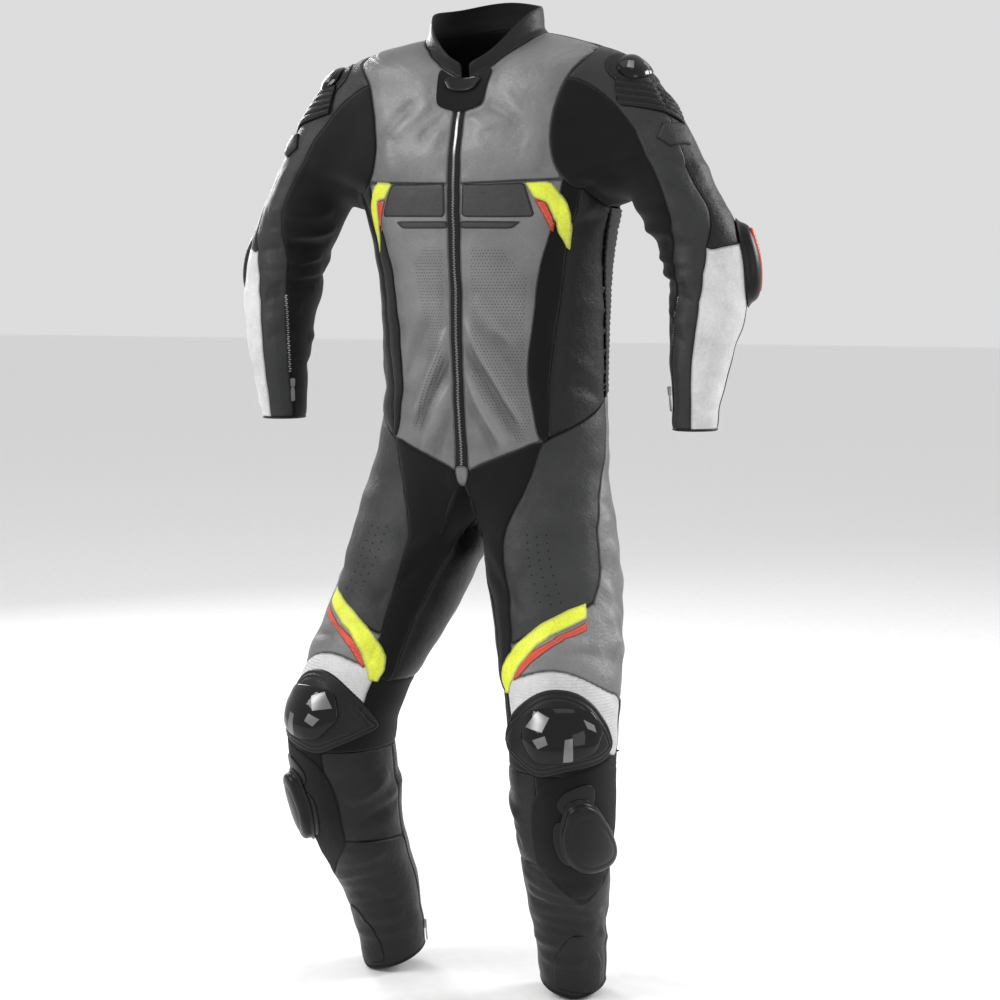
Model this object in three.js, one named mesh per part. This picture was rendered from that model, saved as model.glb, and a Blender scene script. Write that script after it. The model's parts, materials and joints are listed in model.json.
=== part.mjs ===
// One-piece leather race suit, worn form with no wearer.
// Millimetres, +Z up, front towards -Y, the wearer's left towards +X.
// Tables give levels above the lowest hem; the whole suit is then hung from the shoulders,
// so that the origin is the point inside the shoulders where the wearer holds it.
import * as THREE from 'three';

// Driving sizes
const heldLevel = 1405;      // level of the shoulders' hold point above the lowest hem
const neckBack = 45;         // the neck's middle lies this far in front of the tables' zero
const leather = 2.0;         // wall of the leather and stretch panels
const seamGap = 0.3;         // space between two pieces sewn together
const overlayGap = 0.5;      // space under a piece that lies on a panel
const zipHalf = 6;           // half the width of the front zip's tape
const crotchLevel = 733;     // lowest point of the seat seam
const zipBottom = 789;       // level where the front zip ends
const collarRise = 40;       // height of the stand collar at the side and back
const hipRing = 660;         // first whole ring of the thigh
const kneeRing = 380;        // seam under the knee
const armRing = 1215;        // first whole ring of the sleeve
const elbowRing = 1120;      // seam at the elbow
const cuffLevel = 866;       // sleeve's end
const hemLevel = 8;          // leg's end at the front

// Body sections, each a ring round the trunk
const trunkColumns = ['at', 'level', 'half', 'front', 'back', 'middle', 'square', 'drop', 'rise'];
const trunkRows = [
  [700, 700, 200, 112, 112, -30, 2.3, 0, 0],
  [780, 780, 201, 116, 118, -20, 2.3, 0, 0],
  [842, 842, 188, 138, 118, -9, 2.2, 0, 0],
  [905, 905, 179, 146, 104, -8, 2.15, 0, 0],
  [990, 990, 181, 150, 98, -8, 2.1, 0, 0],
  [1083, 1083, 184, 152, 104, -10, 2.1, 0, 0],
  [1145, 1145, 194, 146, 116, -20, 2.1, 0, 0],
  [1222, 1222, 211, 137, 125, -31, 2.2, 4, 0],
  [1300, 1300, 212, 126, 122, -36, 2.5, 20, 0],
  [1370, 1370, 210, 108, 112, -40, 2.9, 50, 0],
  [1420, 1412, 200, 97, 100, -43, 3.0, 66, 6],
  [1450, 1428, 182, 91, 94, -44, 2.8, 72, 10],
  [1500, 1438, 138, 85, 86, -45, 2.4, 72, 14],
  [1550, 1447, 91, 78, 76, -46, 2.1, 71, 17],
];

// Leg sections, left leg; turn is how far the leg points outwards, in degrees
const legColumns = ['level', 'x', 'y', 'across', 'foreAft', 'turn'];
const legRows = [
  [740, 110, -62, 106, 112, 4],
  [700, 112, -64, 105, 111, 6],
  [660, 116, -66, 106, 112, 8],
  [620, 126, -76, 100, 112, 12],
  [580, 139, -95, 97, 106, 14],
  [540, 151, -118, 94, 100, 14],
  [500, 163, -142, 89, 93, 14],
  [460, 175, -163, 84, 89, 14],
  [420, 182, -180, 80, 87, 14],
  [380, 183, -182, 78, 86, 14],
  [340, 182, -177, 76, 84, 14],
  [300, 179, -168, 74, 82, 14],
  [260, 176, -158, 71, 78, 14],
  [220, 171, -142, 67, 73, 14],
  [180, 166, -122, 63, 67, 14],
  [140, 160, -103, 59, 62, 12],
  [100, 157, -89, 55, 58, 10],
  [60, 155, -77, 52, 55, 8],
  [20, 154, -68, 50, 53, 6],
  [-20, 153, -62, 49, 52, 5],
];

// Sleeve sections, left sleeve; lean is how far the ring tips outwards, in degrees
const armColumns = ['level', 'x', 'y', 'across', 'foreAft', 'lean'];
const armRows = [
  [1300, 262, -44, 56, 64, 22],
  [1260, 278, -50, 59, 66, 25],
  [1220, 295, -55, 61, 67, 28],
  [1180, 316, -55, 60, 66, 28],
  [1140, 337, -50, 60, 64, 20],
  [1100, 350, -49, 60, 62, 10],
  [1060, 354, -53, 58, 60, 2],
  [1020, 354, -60, 54, 56, -3],
  [980, 351, -68, 48, 51, -5],
  [940, 347, -73, 42, 45, -4],
  [900, 344, -72, 36, 39, -2],
  [860, 343, -70, 33, 36, 0],
];

// Largest folds: ends in degrees round the tube and level, half width and height in mm
const foldColumns = ['u0', 'v0', 'u1', 'v1', 'wide', 'high'];
const trunkFolds = [
  [4, 985, 34, 862, 11, 5.0],
  [4, 955, 27, 852, 9, -5.0],
  [3, 905, 20, 840, 9, 4.0],
  [10, 1015, 36, 905, 9, -3.0],
  [356, 965, 326, 868, 11, 4.5],
  [356, 930, 331, 855, 9, -4.5],
  [357, 890, 340, 835, 9, 3.5],
  [350, 990, 325, 905, 9, -3.0],
  [20, 1330, 45, 1260, 14, 3.0],
  [340, 1330, 315, 1255, 14, 3.0],
  [120, 960, 175, 985, 14, -4.0],
  [185, 990, 240, 960, 14, -4.0],
  [125, 1120, 172, 1150, 16, 3.5],
  [188, 1150, 235, 1120, 16, 3.5],
];
const legFolds = [
  [-50, 705, -10, 650, 12, 3.0],
  [120, 480, 230, 455, 10, -5.0],
  [115, 445, 235, 425, 10, -5.5],
  [125, 410, 225, 395, 9, -4.0],
  [-100, 340, -40, 300, 10, 3.5],
  [-110, 290, -50, 262, 9, -3.0],
  [-60, 190, 30, 160, 9, 3.0],
  [-40, 140, 50, 128, 8, -2.5],
  [-70, 100, 10, 92, 8, 2.5],
  [110, 200, 220, 185, 10, 3.0],
  [60, 560, 130, 520, 12, 3.0],
];
const armFolds = [
  [-90, 1165, 20, 1120, 9, -3.5],
  [-95, 1110, 10, 1085, 9, 3.5],
  [-80, 1075, 0, 1050, 8, -3.0],
  [-70, 1215, 30, 1175, 10, 3.0],
  [180, 1010, 270, 985, 8, 2.5],
  [160, 960, 265, 940, 8, -2.5],
];

// Seams along the trunk, in degrees from the front, at each level
const seamTables = {
  belly: [[780, 46.6], [841, 46.6], [866, 46.2], [934, 38.8], [1029, 42.2], [1103, 45.2],
    [1124, 47.3], [1152, 53.3], [1185, 57.4], [1228, 58.4], [1264, 53.8], [1286, 52.8], [1330, 55],
    [1366, 58.4], [1396, 63.2], [1430, 76], [1454, 90], [1475, 90], [1550, 90]],
  frontStretch: [[841, 49.4], [901, 51.4], [979, 54.1], [1052, 58.5], [1125, 61.3], [1218, 67]],
  sideFront: [[905, 89.9], [1007, 87.6], [1125, 83.8], [1188, 83]],
  sideBack: [[915, 103], [1188, 99]],
  back: [[925, 128], [1100, 126], [1228, 120], [1286, 126], [1366, 122], [1396, 117],
    [1430, 104], [1454, 90], [1475, 90], [1550, 90]],
};

const toRadians = Math.PI / 180;
const mix = (a, b, t) => a + (b - a) * t;
const clamp = (value, low, high) => Math.min(high, Math.max(low, value));

// Reads one table at a place between its rows, on a smooth curve through them.
function section(rows, columns, at) {
  const up = rows[0][0] < rows[rows.length - 1][0];
  const count = rows.length;
  const row = (k) => rows[up ? k : count - 1 - k];
  let k = 0;
  while (k < count - 2 && row(k + 1)[0] < at) k += 1;
  const [low, high] = [row(k), row(k + 1)];
  const [before, after] = [row(Math.max(k - 1, 0)), row(Math.min(k + 2, count - 1))];
  const span = high[0] - low[0];
  const t = (at - low[0]) / span;
  const blend = [2 * t ** 3 - 3 * t ** 2 + 1, t ** 3 - 2 * t ** 2 + t, 3 * t ** 2 - 2 * t ** 3, t ** 3 - t ** 2];
  const found = {};
  columns.forEach((name, c) => {
    const slopeLow = (high[c] - before[c]) / (high[0] - before[0]);
    const slopeHigh = (after[c] - low[c]) / (after[0] - low[0]);
    found[name] = blend[0] * low[c] + blend[1] * span * slopeLow + blend[2] * high[c] + blend[3] * span * slopeHigh;
  });
  return found;
}
const seamAngle = (name, level) => section(seamTables[name], ['at', 'angle'], level).angle;

const named = (columns, row) => Object.fromEntries(columns.map((name, c) => [name, row[c]]));

// Height of all folds at one place; around is the tube's radius, which turns degrees into mm.
function foldHeight(folds, u, v, around) {
  const perDegree = around * toRadians;
  let total = 0;
  for (const row of folds) {
    const { u0, v0, u1, v1, wide, high } = named(foldColumns, row);
    const turn = u - (u0 + u1) / 2;
    const near = (u0 + u1) / 2 + (turn - 360 * Math.round(turn / 360));
    const [ax, ay] = [(u1 - u0) * perDegree, v1 - v0];
    const [px, py] = [(near - u0) * perDegree, v - v0];
    const t = clamp((px * ax + py * ay) / (ax * ax + ay * ay), 0, 1);
    const away = Math.hypot(px - ax * t, py - ay * t) / wide;
    total += high * Math.exp(-away * away) * (1 - (2 * t - 1) ** 4);
  }
  return total;
}

function trunkPoint(angle, at) {
  const s = section(trunkRows, trunkColumns, at);
  const [c, d] = [Math.cos(angle * toRadians), Math.sin(angle * toRadians)];
  const depth = c > 0 ? s.front : s.back;
  const radius = (Math.abs(c / depth) ** s.square + Math.abs(d / s.half) ** s.square) ** (-1 / s.square)
    + foldHeight(trunkFolds, angle, at, 150);
  const level = s.level - (c > 0 ? s.drop : -s.rise) * c * c;
  return new THREE.Vector3(radius * d, s.middle - radius * c, level);
}

function legPoint(angle, level) {
  const s = section(legRows, legColumns, level);
  const bulge = foldHeight(legFolds, angle, level, 90);
  const [c, d] = [Math.cos(angle * toRadians), Math.sin(angle * toRadians)];
  const [fore, out] = [c * (s.foreAft + bulge), d * (s.across + bulge)];
  const [tc, ts] = [Math.cos(s.turn * toRadians), Math.sin(s.turn * toRadians)];
  return new THREE.Vector3(s.x + fore * ts + out * tc, s.y - fore * tc + out * ts, level);
}

function armPoint(angle, level) {
  const s = section(armRows, armColumns, level);
  const bulge = foldHeight(armFolds, angle, level, 60);
  const [c, d] = [Math.cos(angle * toRadians), Math.sin(angle * toRadians)];
  const [fore, out] = [c * (s.foreAft + bulge), d * (s.across + bulge)];
  const lean = s.lean * toRadians;
  return new THREE.Vector3(s.x + out * Math.cos(lean), s.y - fore, level + out * Math.sin(lean));
}

// A net lays a tube out in columns (seams that run along it) and rows (seams that run round it).
// columns: functions of level that give an angle; rows: one level for each column.
// Where rounded, a row runs through its levels on a smooth curve that closes on itself.
function surfaceNet(point, columns, rows, across, along, rounded = false) {
  const starts = (steps) => steps.reduce((sums, n) => [...sums, sums[sums.length - 1] + n], [0]);
  const [columnStart, rowStart] = [starts(across), starts(along)];
  const place = (sums, index) => {
    let k = 0;
    while (k < sums.length - 2 && index >= sums[k + 1]) k += 1;
    return [k, (index - sums[k]) / (sums[k + 1] - sums[k])];
  };
  const where = (i, j) => {
    const [c, s] = place(columnStart, i);
    const [r, t] = place(rowStart, j);
    const level = (k) => mix(rows[r][k], rows[r + 1][k], t);
    const [low, high] = [level(c), level(c + 1)];
    const angle = mix(columns[c](low), columns[c + 1](high), s);
    if (!rounded) return [angle, mix(low, high, s)];
    const last = across.length;
    const [before, after] = [level((c + last - 1) % last), level(((c + 1) % last) + 1)];
    const curved = s * (1 - s) * ((1 - s) * (high - before) - s * (after - low)) / 2;
    return [angle, mix(low, high, s ** 2 * (3 - 2 * s)) + curved];
  };
  const grid = [];
  for (let i = 0; i <= columnStart[across.length]; i += 1) {
    grid.push([]);
    for (let j = 0; j <= rowStart[along.length]; j += 1) grid[i].push(point(...where(i, j)));
  }
  return { grid, columnStart, rowStart, where };
}

// Unit normals of a grid of points; a closed grid's last column repeats its first.
function gridNormals(grid, closed, sign) {
  const last = grid.length - 1;
  const rows = grid[0].length - 1;
  return grid.map((column, i) => column.map((point, j) => {
    const left = closed && i === 0 ? grid[last - 1][j] : grid[Math.max(i - 1, 0)][j];
    const right = closed && i === last ? grid[1][j] : grid[Math.min(i + 1, last)][j];
    const low = column[Math.max(j - 1, 0)];
    const high = column[Math.min(j + 1, rows)];
    const round = right.clone().sub(left);
    return round.cross(high.clone().sub(low)).multiplyScalar(sign).normalize();
  }));
}

// Cells of a block of a net, from one column and row to another.
function block(fromColumn, toColumn, fromRow, toRow) {
  const cells = [];
  for (let i = fromColumn; i < toColumn; i += 1) {
    for (let j = fromRow; j < toRow; j += 1) cells.push([i, j]);
  }
  return cells;
}

// One cloth piece: the cells' outer points, an inner wall, and rims set back from the seams.
// fine splits each cell in two ways; relief raises the outer points away from the rims.
function clothGeometry(tube, cells, options = {}) {
  const { wall = leather, fine = [1, 1], relief = null, lift = 0, sideLimit = null } = options;
  const { grid, normals, sign, closed } = tube;
  const wrap = closed ? (grid.length - 1) * fine[0] : Infinity;
  const [points, outward, keys, faces] = [[], [], new Map(), []];
  const vertex = (a, b) => {
    const key = `${a % wrap},${b}`;
    if (keys.has(key)) return keys.get(key);
    const [i, j] = [Math.min(Math.floor(a / fine[0]), grid.length - 2), Math.min(Math.floor(b / fine[1]), grid[0].length - 2)];
    const [s, t] = [a / fine[0] - i, b / fine[1] - j];
    const blend = (table) => {
      const low = table[i][j].clone().lerp(table[i + 1][j], s);
      return low.lerp(table[i][j + 1].clone().lerp(table[i + 1][j + 1], s), t);
    };
    const normal = blend(normals).normalize();
    points.push(blend(grid).addScaledVector(normal, lift));
    outward.push(normal);
    keys.set(key, points.length - 1);
    points[points.length - 1].spot = [a / fine[0], b / fine[1]];
    return points.length - 1;
  };
  for (const [i, j] of cells) {
    for (let a = i * fine[0]; a < (i + 1) * fine[0]; a += 1) {
      for (let b = j * fine[1]; b < (j + 1) * fine[1]; b += 1) {
        const [p, q, r, s] = [vertex(a, b), vertex(a + 1, b), vertex(a + 1, b + 1), vertex(a, b + 1)];
        if (sign > 0) faces.push([p, q, r], [p, r, s]);
        else faces.push([p, r, q], [p, s, r]);
      }
    }
  }
  const edges = new Set(faces.flatMap(([p, q, r]) => [`${p},${q}`, `${q},${r}`, `${r},${p}`]));
  const rim = [...edges].map((edge) => edge.split(',').map(Number)).filter(([p, q]) => !edges.has(`${q},${p}`));
  const inwards = points.map(() => []);
  for (const [p, q] of rim) {
    const along = points[q].clone().sub(points[p]);
    for (const k of [p, q]) inwards[k].push(outward[k].clone().cross(along).normalize());
  }
  const outer = [];
  const inner = [];
  points.forEach((point, k) => {
    const shift = new THREE.Vector3();
    if (inwards[k].length > 0) {
      const [first, second] = [inwards[k][0], inwards[k][inwards[k].length - 1]];
      shift.copy(first).add(second).multiplyScalar(seamGap / 2 / Math.max(1 + first.dot(second), 0.4));
    }
    const raised = relief && inwards[k].length === 0 ? relief(...point.spot) : 0;
    outer.push(point.clone().add(shift).addScaledVector(outward[k], raised));
    inner.push(point.clone().add(shift).addScaledVector(outward[k], -wall));
  });
  const all = [...outer, ...inner];
  if (sideLimit !== null) all.forEach((point) => { point.x = Math.max(point.x, sideLimit); });
  const n = outer.length;
  const triangles = faces.flatMap(([p, q, r]) => [p, q, r, p + n, r + n, q + n]);
  // Both pieces at a seam split their rims along the same diagonal.
  const order = (k) => Math.abs(points[k].x) + 2.3 * points[k].y + 3.1 * points[k].z;
  for (const [p, q] of rim) {
    if (order(p) < order(q)) triangles.push(q, p, p + n, q, p + n, q + n);
    else triangles.push(q, p, q + n, p, p + n, q + n);
  }
  return indexedGeometry(all, triangles);
}

// A rounded rib, as high as one in the middle of each whole step.
const ridge = (place) => Math.sin(Math.PI * place) ** 2;

function indexedGeometry(points, triangles) {
  const geometry = new THREE.BufferGeometry();
  geometry.setAttribute('position', new THREE.Float32BufferAttribute(points.flatMap((p) => [p.x, p.y, p.z]), 3));
  geometry.setIndex(triangles);
  geometry.computeVertexNormals();
  return geometry;
}

function mirrored(geometry) {
  const copy = geometry.clone();
  const place = copy.getAttribute('position');
  for (let k = 0; k < place.count; k += 1) place.setX(k, -place.getX(k));
  const index = copy.getIndex();
  for (let k = 0; k < index.count; k += 3) {
    const second = index.getX(k + 1);
    index.setX(k + 1, index.getX(k + 2));
    index.setX(k + 2, second);
  }
  copy.computeVertexNormals();
  return copy;
}

// Materials
const finishes = {
  greyLeather: ['#6f7273', 0.42, 0.25],
  blackLeather: ['#232324', 0.5, 0],
  thighLeather: ['#3a3b3d', 0.48, 0],
  blackStretch: ['#111112', 0.9, 0],
  whiteLeather: ['#e9e9ea', 0.5, 0],
  yellow: ['#dff02c', 0.55, 0],
  hook: ['#151516', 0.95, 0],
  gloss: ['#0c0c0d', 0.12, 0],
  hardBlack: ['#1b1b1c', 0.4, 0],
  red: ['#e8472f', 0.45, 0],
  metal: ['#8c8f92', 0.3, 0.9],
};
const suit = new THREE.Group();
suit.position.set(0, neckBack, -heldLevel);

function addPiece(name, finish, geometry) {
  const [color, roughness, metalness] = finishes[finish];
  const mesh = new THREE.Mesh(geometry, new THREE.MeshStandardMaterial({ color, roughness, metalness }));
  mesh.name = name;
  suit.add(mesh);
}
function addPair(name, finish, geometry) {
  addPiece(`${name}_l`, finish, geometry);
  addPiece(`${name}_r`, finish, mirrored(geometry));
}

// Trunk
const zipAngle = (level) => Math.asin(zipHalf / section(trunkRows, trunkColumns, level).front) / toRadians;
const trunkSeams = [
  zipAngle,
  (level) => seamAngle('belly', level),
  (level) => seamAngle('frontStretch', level),
  (level) => seamAngle('sideFront', level),
  (level) => seamAngle('sideBack', level),
  (level) => seamAngle('back', level),
  () => 180,
];
const mirrorSeam = (k) => (level) => 360 - trunkSeams[k](level);
const bothSides = (row) => [...row, ...row.slice(0, -1).reverse()];
const trunkNet = surfaceNet(
  trunkPoint,
  [...trunkSeams, ...[5, 4, 3, 2, 1, 0].map(mirrorSeam)],
  [
    [zipBottom, 841, 846, 905, 915, 925, 935],
    [930, 930, 932, 945, 948, 950, 955],
    [1100, 1100, 1100, 1100, 1100, 1100, 1100],
    [1226, 1228, 1218, 1188, 1187, 1228, 1228],
    [1396, 1396, 1396, 1396, 1396, 1396, 1396],
    [1454, 1454, 1454, 1454, 1454, 1454, 1454],
    [1550, 1550, 1550, 1550, 1550, 1550, 1550],
  ].map(bothSides),
  [5, 1, 6, 1, 1, 4, 4, 1, 1, 6, 1, 5],
  [2, 5, 3, 4, 4, 2],
);
const [zipC, bellyC, stretchC, sideC, sideBackC, backC, centreC] = trunkNet.columnStart;
const [bottomR, waistR, chestR, yokeR, shoulderR, topR, neckR] = trunkNet.rowStart;
const trunk = { grid: trunkNet.grid, sign: 1, closed: false };
trunk.normals = gridNormals(trunk.grid, false, 1);
const wholeWidth = trunk.grid.length - 1;

// Sleeves. The armhole is walked round from its lower front corner, over the shoulder and back.

// Front and back meet along the top of each shoulder.
const topSeamRows = Array.from({ length: neckR - topR + 1 }, (_, k) => topR + k);
for (const [front, rear] of [[bellyC, backC], [wholeWidth - bellyC, wholeWidth - backC]]) {
  for (const j of topSeamRows) {
    trunk.grid[front][j].copy(trunk.grid[rear][j]);
    trunk.normals[rear][j].add(trunk.normals[front][j]).normalize();
    trunk.normals[front][j].copy(trunk.normals[rear][j]);
  }
}

const walk = (from, to) => Array.from({ length: Math.abs(to - from) }, (_, k) => from + Math.sign(to - from) * k);
const armholeSpots = [
  ...walk(yokeR, topR).map((j) => [bellyC, j]),
  ...walk(topR, yokeR).map((j) => [backC, j]),
  ...walk(backC, bellyC).map((i) => [i, yokeR]),
];
const onTrunk = ([i, j]) => trunk.grid[i][j];
const armhole = armholeSpots.map(onTrunk);
const armholeMiddle = armhole.reduce((sum, p) => sum.add(p), new THREE.Vector3()).divideScalar(armhole.length);

// Adds rows between a loop of points and the first ring of a net, on curves that leave both smoothly.
function bridge(loop, leaving, net, arriving, steps) {
  return net.grid.map((column, i) => {
    const start = loop[i % loop.length];
    const end = column[0];
    const reach = start.distanceTo(end) * 0.38;
    const curve = new THREE.CubicBezierCurve3(
      start,
      start.clone().addScaledVector(leaving(i % loop.length, start, end), reach),
      end.clone().addScaledVector(arriving(i), -reach),
      end,
    );
    const rows = Array.from({ length: steps }, (_, k) => curve.getPoint(k / steps));
    return [...rows, ...column];
  });
}
// Two tubes that meet along a seam share its normals, so that their rims face each other.
function shareNormals(tube, spots) {
  tube.normals.forEach((column, i) => {
    const spot = spots[i % spots.length];
    const other = spot ? trunk.normals[spot[0]][spot[1]] : column[0].clone().multiply(new THREE.Vector3(-1, 1, 1));
    column[0].add(other).normalize();
  });
  spots.forEach((spot, i) => {
    if (!spot) return;
    trunk.normals[spot[0]][spot[1]] = tube.normals[i][0].clone();
    const copy = tube.normals[i][0].clone();
    copy.x = spot[0] === centreC ? 0 : -copy.x;
    trunk.normals[wholeWidth - spot[0]][spot[1]] = copy.normalize();
  });
}
// Where a tube is cut straight across, its rims lie in the cut's plane.
function squareEnd(tube, row, axis) {
  tube.normals.forEach((column) => column[row].addScaledVector(axis, -column[row].dot(axis)).normalize());
}
const alongSurface = (point, net) => (i) => {
  const [angle, level] = net.where(i, 0);
  return point(angle, level - 4).sub(point(angle, level + 4)).normalize();
};
const seam = (table) => (level) => section(table, ['at', 'angle'], level).angle;
const turned = (line) => (level) => line(level) + 360;

const armSeams = {
  stretchFront: seam([[866, -58], [931, -53], [1062, -37], [1121, -32], [1174, -3], [1215, 5]]),
  whiteFront: seam([[866, 6], [924, 4], [1008, 0], [1108, 18], [1160, 52], [1215, 50]]),
  whiteBack: seam([[866, 96], [1008, 100], [1108, 108], [1160, 118], [1215, 122]]),
  stretchBack: seam([[866, 232], [1008, 230], [1108, 225], [1215, 215]]),
};
const armLines = [
  armSeams.stretchFront, armSeams.whiteFront, armSeams.whiteBack, armSeams.stretchBack, turned(armSeams.stretchFront),
];
const level5 = (level) => [level, level, level, level, level];
const armSteps = [4, 4, 4, 13];
const shoulderStart = 4;      // the armhole's point where the stretch panel ends
const [upperArmRows, foreArmRows] = [4, 7];
const armNet = surfaceNet(
  armPoint,
  armLines,
  [level5(armRing), level5(elbowRing), level5(cuffLevel)],
  armSteps,
  [upperArmRows, foreArmRows],
);
const from = (list, start) => [...list.slice(start), ...list.slice(0, start)];
const armholeLoop = from(armhole, shoulderStart);
const outOfArmhole = (i, start, end) => {
  const low = clamp((armholeMiddle.z - start.z) / 90, 0, 1);
  const back = clamp((start.y - armholeMiddle.y) / 80, -1, 1);
  const along = new THREE.Vector3(1, -0.42 * back, -0.16 - 0.2 * Math.abs(back));
  const straight = end.clone().sub(start).normalize();
  return along.normalize().lerp(straight, low * 0.8).normalize();
};
const bridgeArm = 5;
const arm = { sign: -1, closed: true };
arm.grid = bridge(armholeLoop, outOfArmhole, armNet, alongSurface(armPoint, armNet), bridgeArm);
arm.normals = gridNormals(arm.grid, true, -1);
shareNormals(arm, from(armholeSpots, shoulderStart));
const [bandC, whiteC, outerBackC, innerC, armEnd] = armNet.columnStart;
const elbowR = bridgeArm + upperArmRows;
const cuffR = elbowR + foreArmRows;
addPair('shoulder_panel', 'blackLeather', clothGeometry(arm, [
  ...block(whiteC, innerC, 0, elbowR),
  ...block(outerBackC, innerC, elbowR, cuffR),
]));
addPair('arm_band', 'thighLeather', clothGeometry(arm, block(bandC, whiteC, 0, cuffR)));
addPair('arm_inner', 'blackStretch', clothGeometry(arm, block(innerC, armEnd, 0, cuffR)));
addPair('forearm_white', 'whiteLeather', clothGeometry(arm, block(whiteC, outerBackC, elbowR, cuffR)));

// Legs. The top of a leg follows the trunk's lower edge and then the seat seam in the middle plane.
const seatSeam = new THREE.CatmullRomCurve3([
  trunk.grid[centreC][bottomR],
  new THREE.Vector3(0, 98, 862),
  new THREE.Vector3(0, 74, 796),
  new THREE.Vector3(0, 18, 746),
  new THREE.Vector3(0, -40, crotchLevel),
  new THREE.Vector3(0, -104, 752),
  trunkPoint(0, zipBottom),
], false, 'centripetal');
const seatSteps = 8;
const seatPoints = Array.from({ length: seatSteps + 1 }, (_, k) => seatSeam.getPoint(k / seatSteps));
const legSpots = [
  null,
  ...walk(zipC, bellyC + 1).map((i) => [i, bottomR]),
  ...walk(stretchC + 1, centreC).map((i) => [i, bottomR]),
  ...seatPoints.slice(0, -1).map((_, k) => (k === 0 ? [centreC, bottomR] : null)),
];
const legLoop = [
  seatPoints[seatSteps],
  ...legSpots.slice(1, -seatSteps).map(onTrunk),
  ...seatPoints.slice(0, -1),
];
const legSeams = {
  inner: seam([[380, 282], [437, 285], [500, 290], [537, 297], [572, 297], [623, 304], [660, 299]]),
  thighInner: seam([[380, -52], [437, -50], [504, -45], [544, -43], [635, -32], [660, -28]]),
  kneeMiddle: seam([[380, 8], [437, 8], [522, 6], [600, 0], [660, 14]]),
  thighOuter: seam([[380, 76], [437, 72], [480, 67], [560, 44], [600, 42], [615, 44], [635, 52], [660, 57]]),
  back: seam([[380, 130], [437, 135], [500, 140], [660, 150]]),
};
const legLines = [
  (level) => legSeams.inner(level) - 360, legSeams.thighInner, legSeams.kneeMiddle, legSeams.thighOuter,
  legSeams.back, legSeams.inner,
];
const legTopSteps = [9, 3, 3, 4, 7];
const seatEnd = 3;                                // points from the inner leg seam to the zip's end
const innerStart = legLoop.length - seatEnd;
const legRow = (level) => [level, level, level, level, level, level];
const legNet = surfaceNet(legPoint, legLines, [
  legRow(hipRing),
  [530, 544, 582, 615, 600, 530],
  [484, 503, 522, 480, 470, 484],
  [437, 440, 470, 396, 420, 437],
  legRow(kneeRing),
], legTopSteps, [2, 3, 2, 2], true);
const legStart = from(legLoop, innerStart);
const outOfTrunk = (i, start, end) => {
  const straight = end.clone().sub(start).normalize();
  const seat = Math.abs(start.x) < 1;
  const leave = seat
    ? new THREE.Vector3(0.62, 0.55 * clamp((start.y + 40) / 120, -0.6, 1), -0.6)
    : new THREE.Vector3(start.x > 150 ? 0.16 : 0, start.y > 60 ? 0.12 : 0, -1);
  return leave.lerp(straight, seat ? 0.3 : 0.15).normalize();
};
const bridgeLeg = 5;
const upperLeg = { sign: -1, closed: true };
upperLeg.grid = bridge(legStart, outOfTrunk, legNet, alongSurface(legPoint, legNet), bridgeLeg);
upperLeg.normals = gridNormals(upperLeg.grid, true, -1);
shareNormals(upperLeg, from(legSpots, innerStart));
const upright = new THREE.Vector3(0, 0, 1);
squareEnd(upperLeg, upperLeg.grid[0].length - 1, upright);
const [innerC0, thighC, kneeC, outerC, legBackC, legEnd] = legNet.columnStart;
const [hipR, stripeR, bandTopR, bandLowR, kneeR] = legNet.rowStart.map((row) => row + bridgeLeg);
const nearMiddle = { sideLimit: seamGap / 2 };
addPair('crotch_stretch', 'blackStretch', clothGeometry(upperLeg, block(innerC0, thighC, 0, bandTopR), nearMiddle));
addPair('thigh', 'thighLeather', clothGeometry(upperLeg, block(thighC, outerC, 0, stripeR), nearMiddle));
addPair('outer_thigh', 'greyLeather', clothGeometry(upperLeg, [
  ...block(outerC, legBackC, 0, bandTopR),
  ...block(thighC, outerC, stripeR, bandTopR),
], nearMiddle));
addPair('seat', 'blackLeather', clothGeometry(upperLeg, block(legBackC, legEnd, 0, bandTopR), nearMiddle));
const [bandFrom, bandTo] = [thighC - 3, outerC + 1];
addPair('knee_band', 'whiteLeather', clothGeometry(
  upperLeg,
  block(bandFrom, bandTo, bandTopR, bandLowR),
  { fine: [1, 4], relief: (i, j) => 2.4 * ridge(j * 2) },
));
addPair('knee_panel', 'blackStretch', clothGeometry(upperLeg, [
  ...block(innerC0, legEnd, bandLowR, kneeR),
  ...block(bandTo, legEnd, bandTopR, bandLowR),
  ...block(innerC0, bandFrom, bandTopR, bandLowR),
]));

const shinSeams = [
  seam([[-20, -118], [380, -112]]),
  seam([[-20, -24], [230, -22], [380, -24]]),
  seam([[-20, 20], [165, 28], [380, 28]]),
  seam([[-20, 92], [380, 92]]),
  seam([[-20, 242], [380, 248]]),
];
const shinNet = surfaceNet(legPoint, shinSeams, [
  level5(kneeRing),
  [235, 238, 168, 226, 235],
  [84, 80, 84, 84, 84],
  [hemLevel + 26, hemLevel, hemLevel - 8, hemLevel + 8, hemLevel + 26],
], [5, 2, 3, 7], [5, 3, 2]);
const shin = { grid: shinNet.grid, sign: -1, closed: true };
shin.normals = gridNormals(shin.grid, true, -1);
squareEnd(shin, 0, upright);
const [zipLineC, hookC, hookMidC, calfC, shinEnd] = shinNet.columnStart;
const [, hookR, , hemR] = shinNet.rowStart;
addPair('shin', 'blackLeather', clothGeometry(shin, block(zipLineC, hookC, 0, hookR)));
addPair('hook_panel', 'hook', clothGeometry(shin, block(hookC, calfC, 0, hookR)));
addPair('lower_leg', 'blackLeather', clothGeometry(shin, block(zipLineC, calfC, hookR, hemR)));
addPair('calf', 'blackLeather', clothGeometry(shin, block(calfC, shinEnd, 0, hemR)));

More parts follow.
